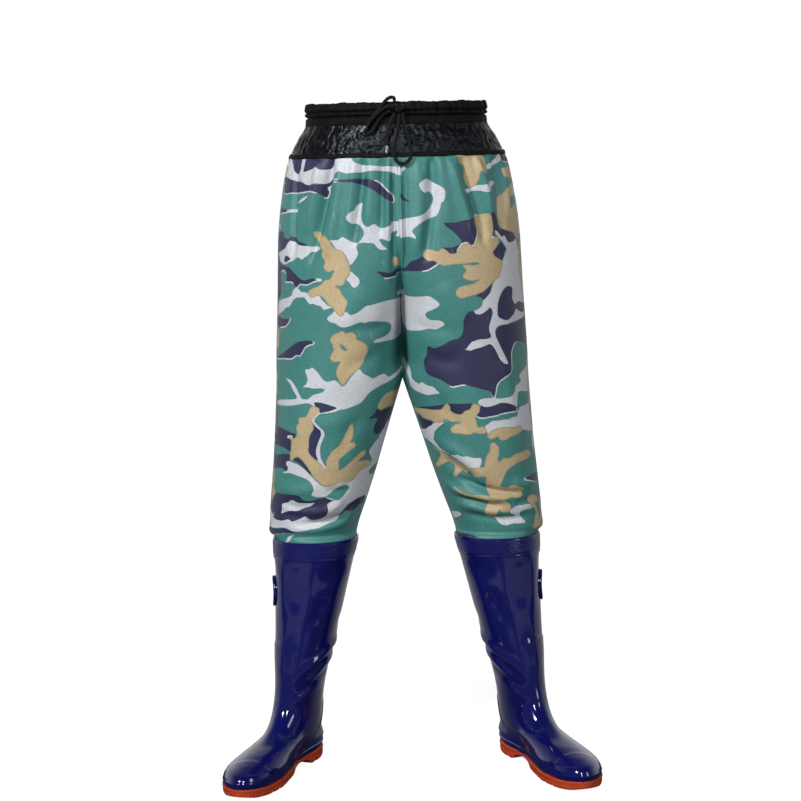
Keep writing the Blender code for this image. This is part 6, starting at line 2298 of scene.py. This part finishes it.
class Studio:
    """The pale floor, the soft lights and a surround that is bright behind and dim in front."""

    floor_half = 12.0
    floor_grey = (0.25, 0.25, 0.25, 1.0)
    mirrored_grey = (0.04, 0.04, 0.04, 1.0)
    white = (1.0, 1.0, 1.0, 1.0)
    floor_roughness = 0.9
    floor_specular = 0.1
    seen_reach = (0.5, 2.6)
    seen_glow = (0.92, 1.02)
    behind_reach = (0.05, 0.45)
    behind_glow = 0.42
    ahead_reach = (-0.70, -1.10)
    ahead_glow = 0.30
    aside_reach = (0.10, 0.40)
    dim = 0.10
    bright = 0.85
    horizon = (-0.15, 0.55)
    overhead_reach = (0.25, 0.70)
    overhead_share = 0.12
    matt_share = 0.30
    boxes = (
        SoftBox("key_left", (-2.1, -2.6, 2.7), (0.0, 0.0, 0.6), (0.6, 0.7), 122.0),
        SoftBox("key_front", (0.1, -3.4, 2.3), (0.0, 0.0, 0.6), (0.4, 0.8), 56.0),
        SoftBox("fill_right", (2.6, -1.9, 1.6), (0.0, 0.0, 0.5), (0.6, 1.6), 20.0),
        SoftBox("back_soft", (0.0, 3.2, 2.6), (0.0, 0.0, 0.6), (2.4, 1.6), 24.0, mirrored=False),
    )

    def floor(self) -> None:
        """The floor: white to the camera, and dim in reflections but for a pale card behind and two ahead."""
        start_piece()
        bpy.ops.mesh.primitive_plane_add(size=2 * self.floor_half, location=(0.0, 0.0, 0.0))
        floor = bpy.context.object
        floor.name = "studio_floor"
        pale = bpy.data.materials.new("pale_floor")
        pale.use_nodes = True
        wiring = Wiring(pale.node_tree)
        shader = pale.node_tree.nodes["Principled BSDF"]
        path = wiring.node("ShaderNodeLightPath")
        shade = wiring.mix(path.outputs["Is Glossy Ray"], self.floor_grey, self.mirrored_grey)
        wiring.tree.links.new(shade, shader.inputs["Base Color"])
        shader.inputs["Roughness"].default_value = self.floor_roughness
        shader.inputs["Specular IOR Level"].default_value = self.floor_specular
        shader.inputs["Emission Color"].default_value = self.white
        place = wiring.node("ShaderNodeTexCoord").outputs["Object"]
        away = wiring.node("ShaderNodeVectorMath", {0: place}, operation="LENGTH").outputs["Value"]
        glow = wiring.ramp(away, *self.seen_reach, *self.seen_glow)
        seen = wiring.math("MULTIPLY", path.outputs["Is Camera Ray"], glow)
        parts = wiring.node("ShaderNodeSeparateXYZ", {"Vector": place})
        behind = wiring.ramp(parts.outputs["Y"], *self.behind_reach, 0.0, self.behind_glow)
        ahead = wiring.ramp(parts.outputs["Y"], *self.ahead_reach, 0.0, self.ahead_glow)
        aside = wiring.ramp(wiring.math("ABSOLUTE", parts.outputs["X"]), *self.aside_reach)
        card = wiring.math("MULTIPLY_ADD", ahead, aside, behind)
        glow = wiring.math("MULTIPLY_ADD", path.outputs["Is Glossy Ray"], card, seen)
        wiring.tree.links.new(glow, shader.inputs["Emission Strength"])
        floor.data.materials.append(pale)

    def surround(self) -> None:
        """The world: white to the camera, else bright behind the wader and dim in front of it."""
        world = bpy.data.worlds.new("studio_surround")
        bpy.context.scene.world = world
        world.use_nodes = True
        wiring = Wiring(world.node_tree)
        way = wiring.node("ShaderNodeTexCoord").outputs["Generated"]
        parts = wiring.node("ShaderNodeSeparateXYZ", {"Vector": way})
        lit = wiring.ramp(parts.outputs["Y"], *self.horizon, self.dim, self.bright)
        overhead = wiring.ramp(parts.outputs["Z"], *self.overhead_reach, 1.0, self.overhead_share)
        lit = wiring.math("MULTIPLY", lit, overhead)
        path = wiring.node("ShaderNodeLightPath")
        mirrored = wiring.ramp(path.outputs["Is Glossy Ray"], 0.0, 1.0, self.matt_share, 1.0)
        lit = wiring.math("MULTIPLY", lit, mirrored)
        strength = wiring.math("MAXIMUM", lit, path.outputs["Is Camera Ray"])
        wiring.tree.links.new(strength, world.node_tree.nodes["Background"].inputs["Strength"])
        world.node_tree.nodes["Background"].inputs["Color"].default_value = self.white

    def build(self) -> None:
        """Makes the floor, the lights and the surround."""
        self.floor()
        self.surround()
        for box in self.boxes:
            box.build()
        bpy.context.scene.view_settings.view_transform = "Standard"


def main() -> None:
    """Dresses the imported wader, piece by piece."""
    logging.basicConfig(level=logging.INFO, format="%(name)s: %(message)s")
    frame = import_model()
    camera = PhotoCamera()
    camera.build()
    wardrobe = Wardrobe()
    boot_form = BootForm()
    leg_form = LegForm(boot_form)
    Drawcord(leg_form).build(wardrobe)
    skirt = Waistband(leg_form).build(wardrobe)
    chart = PrintChart(camera)
    legs = [TrouserLeg(side, leg_form) for side in Side]
    for leg in legs:
        leg.lay_chart(chart)
    for leg in legs:
        leg.build(chart, wardrobe)
    welds = TrouserSeams(legs).build(wardrobe)
    for leg, rise in zip(legs, ("front_seam", "back_seam")):
        leg.declare(skirt.name, [welds[rise], welds[f"outseam_{leg.side.word}"]])
    for side in Side:
        Boot(side, boot_form).dress(wardrobe, frame)
    Studio().build()


if __name__ == "__main__":
    main()
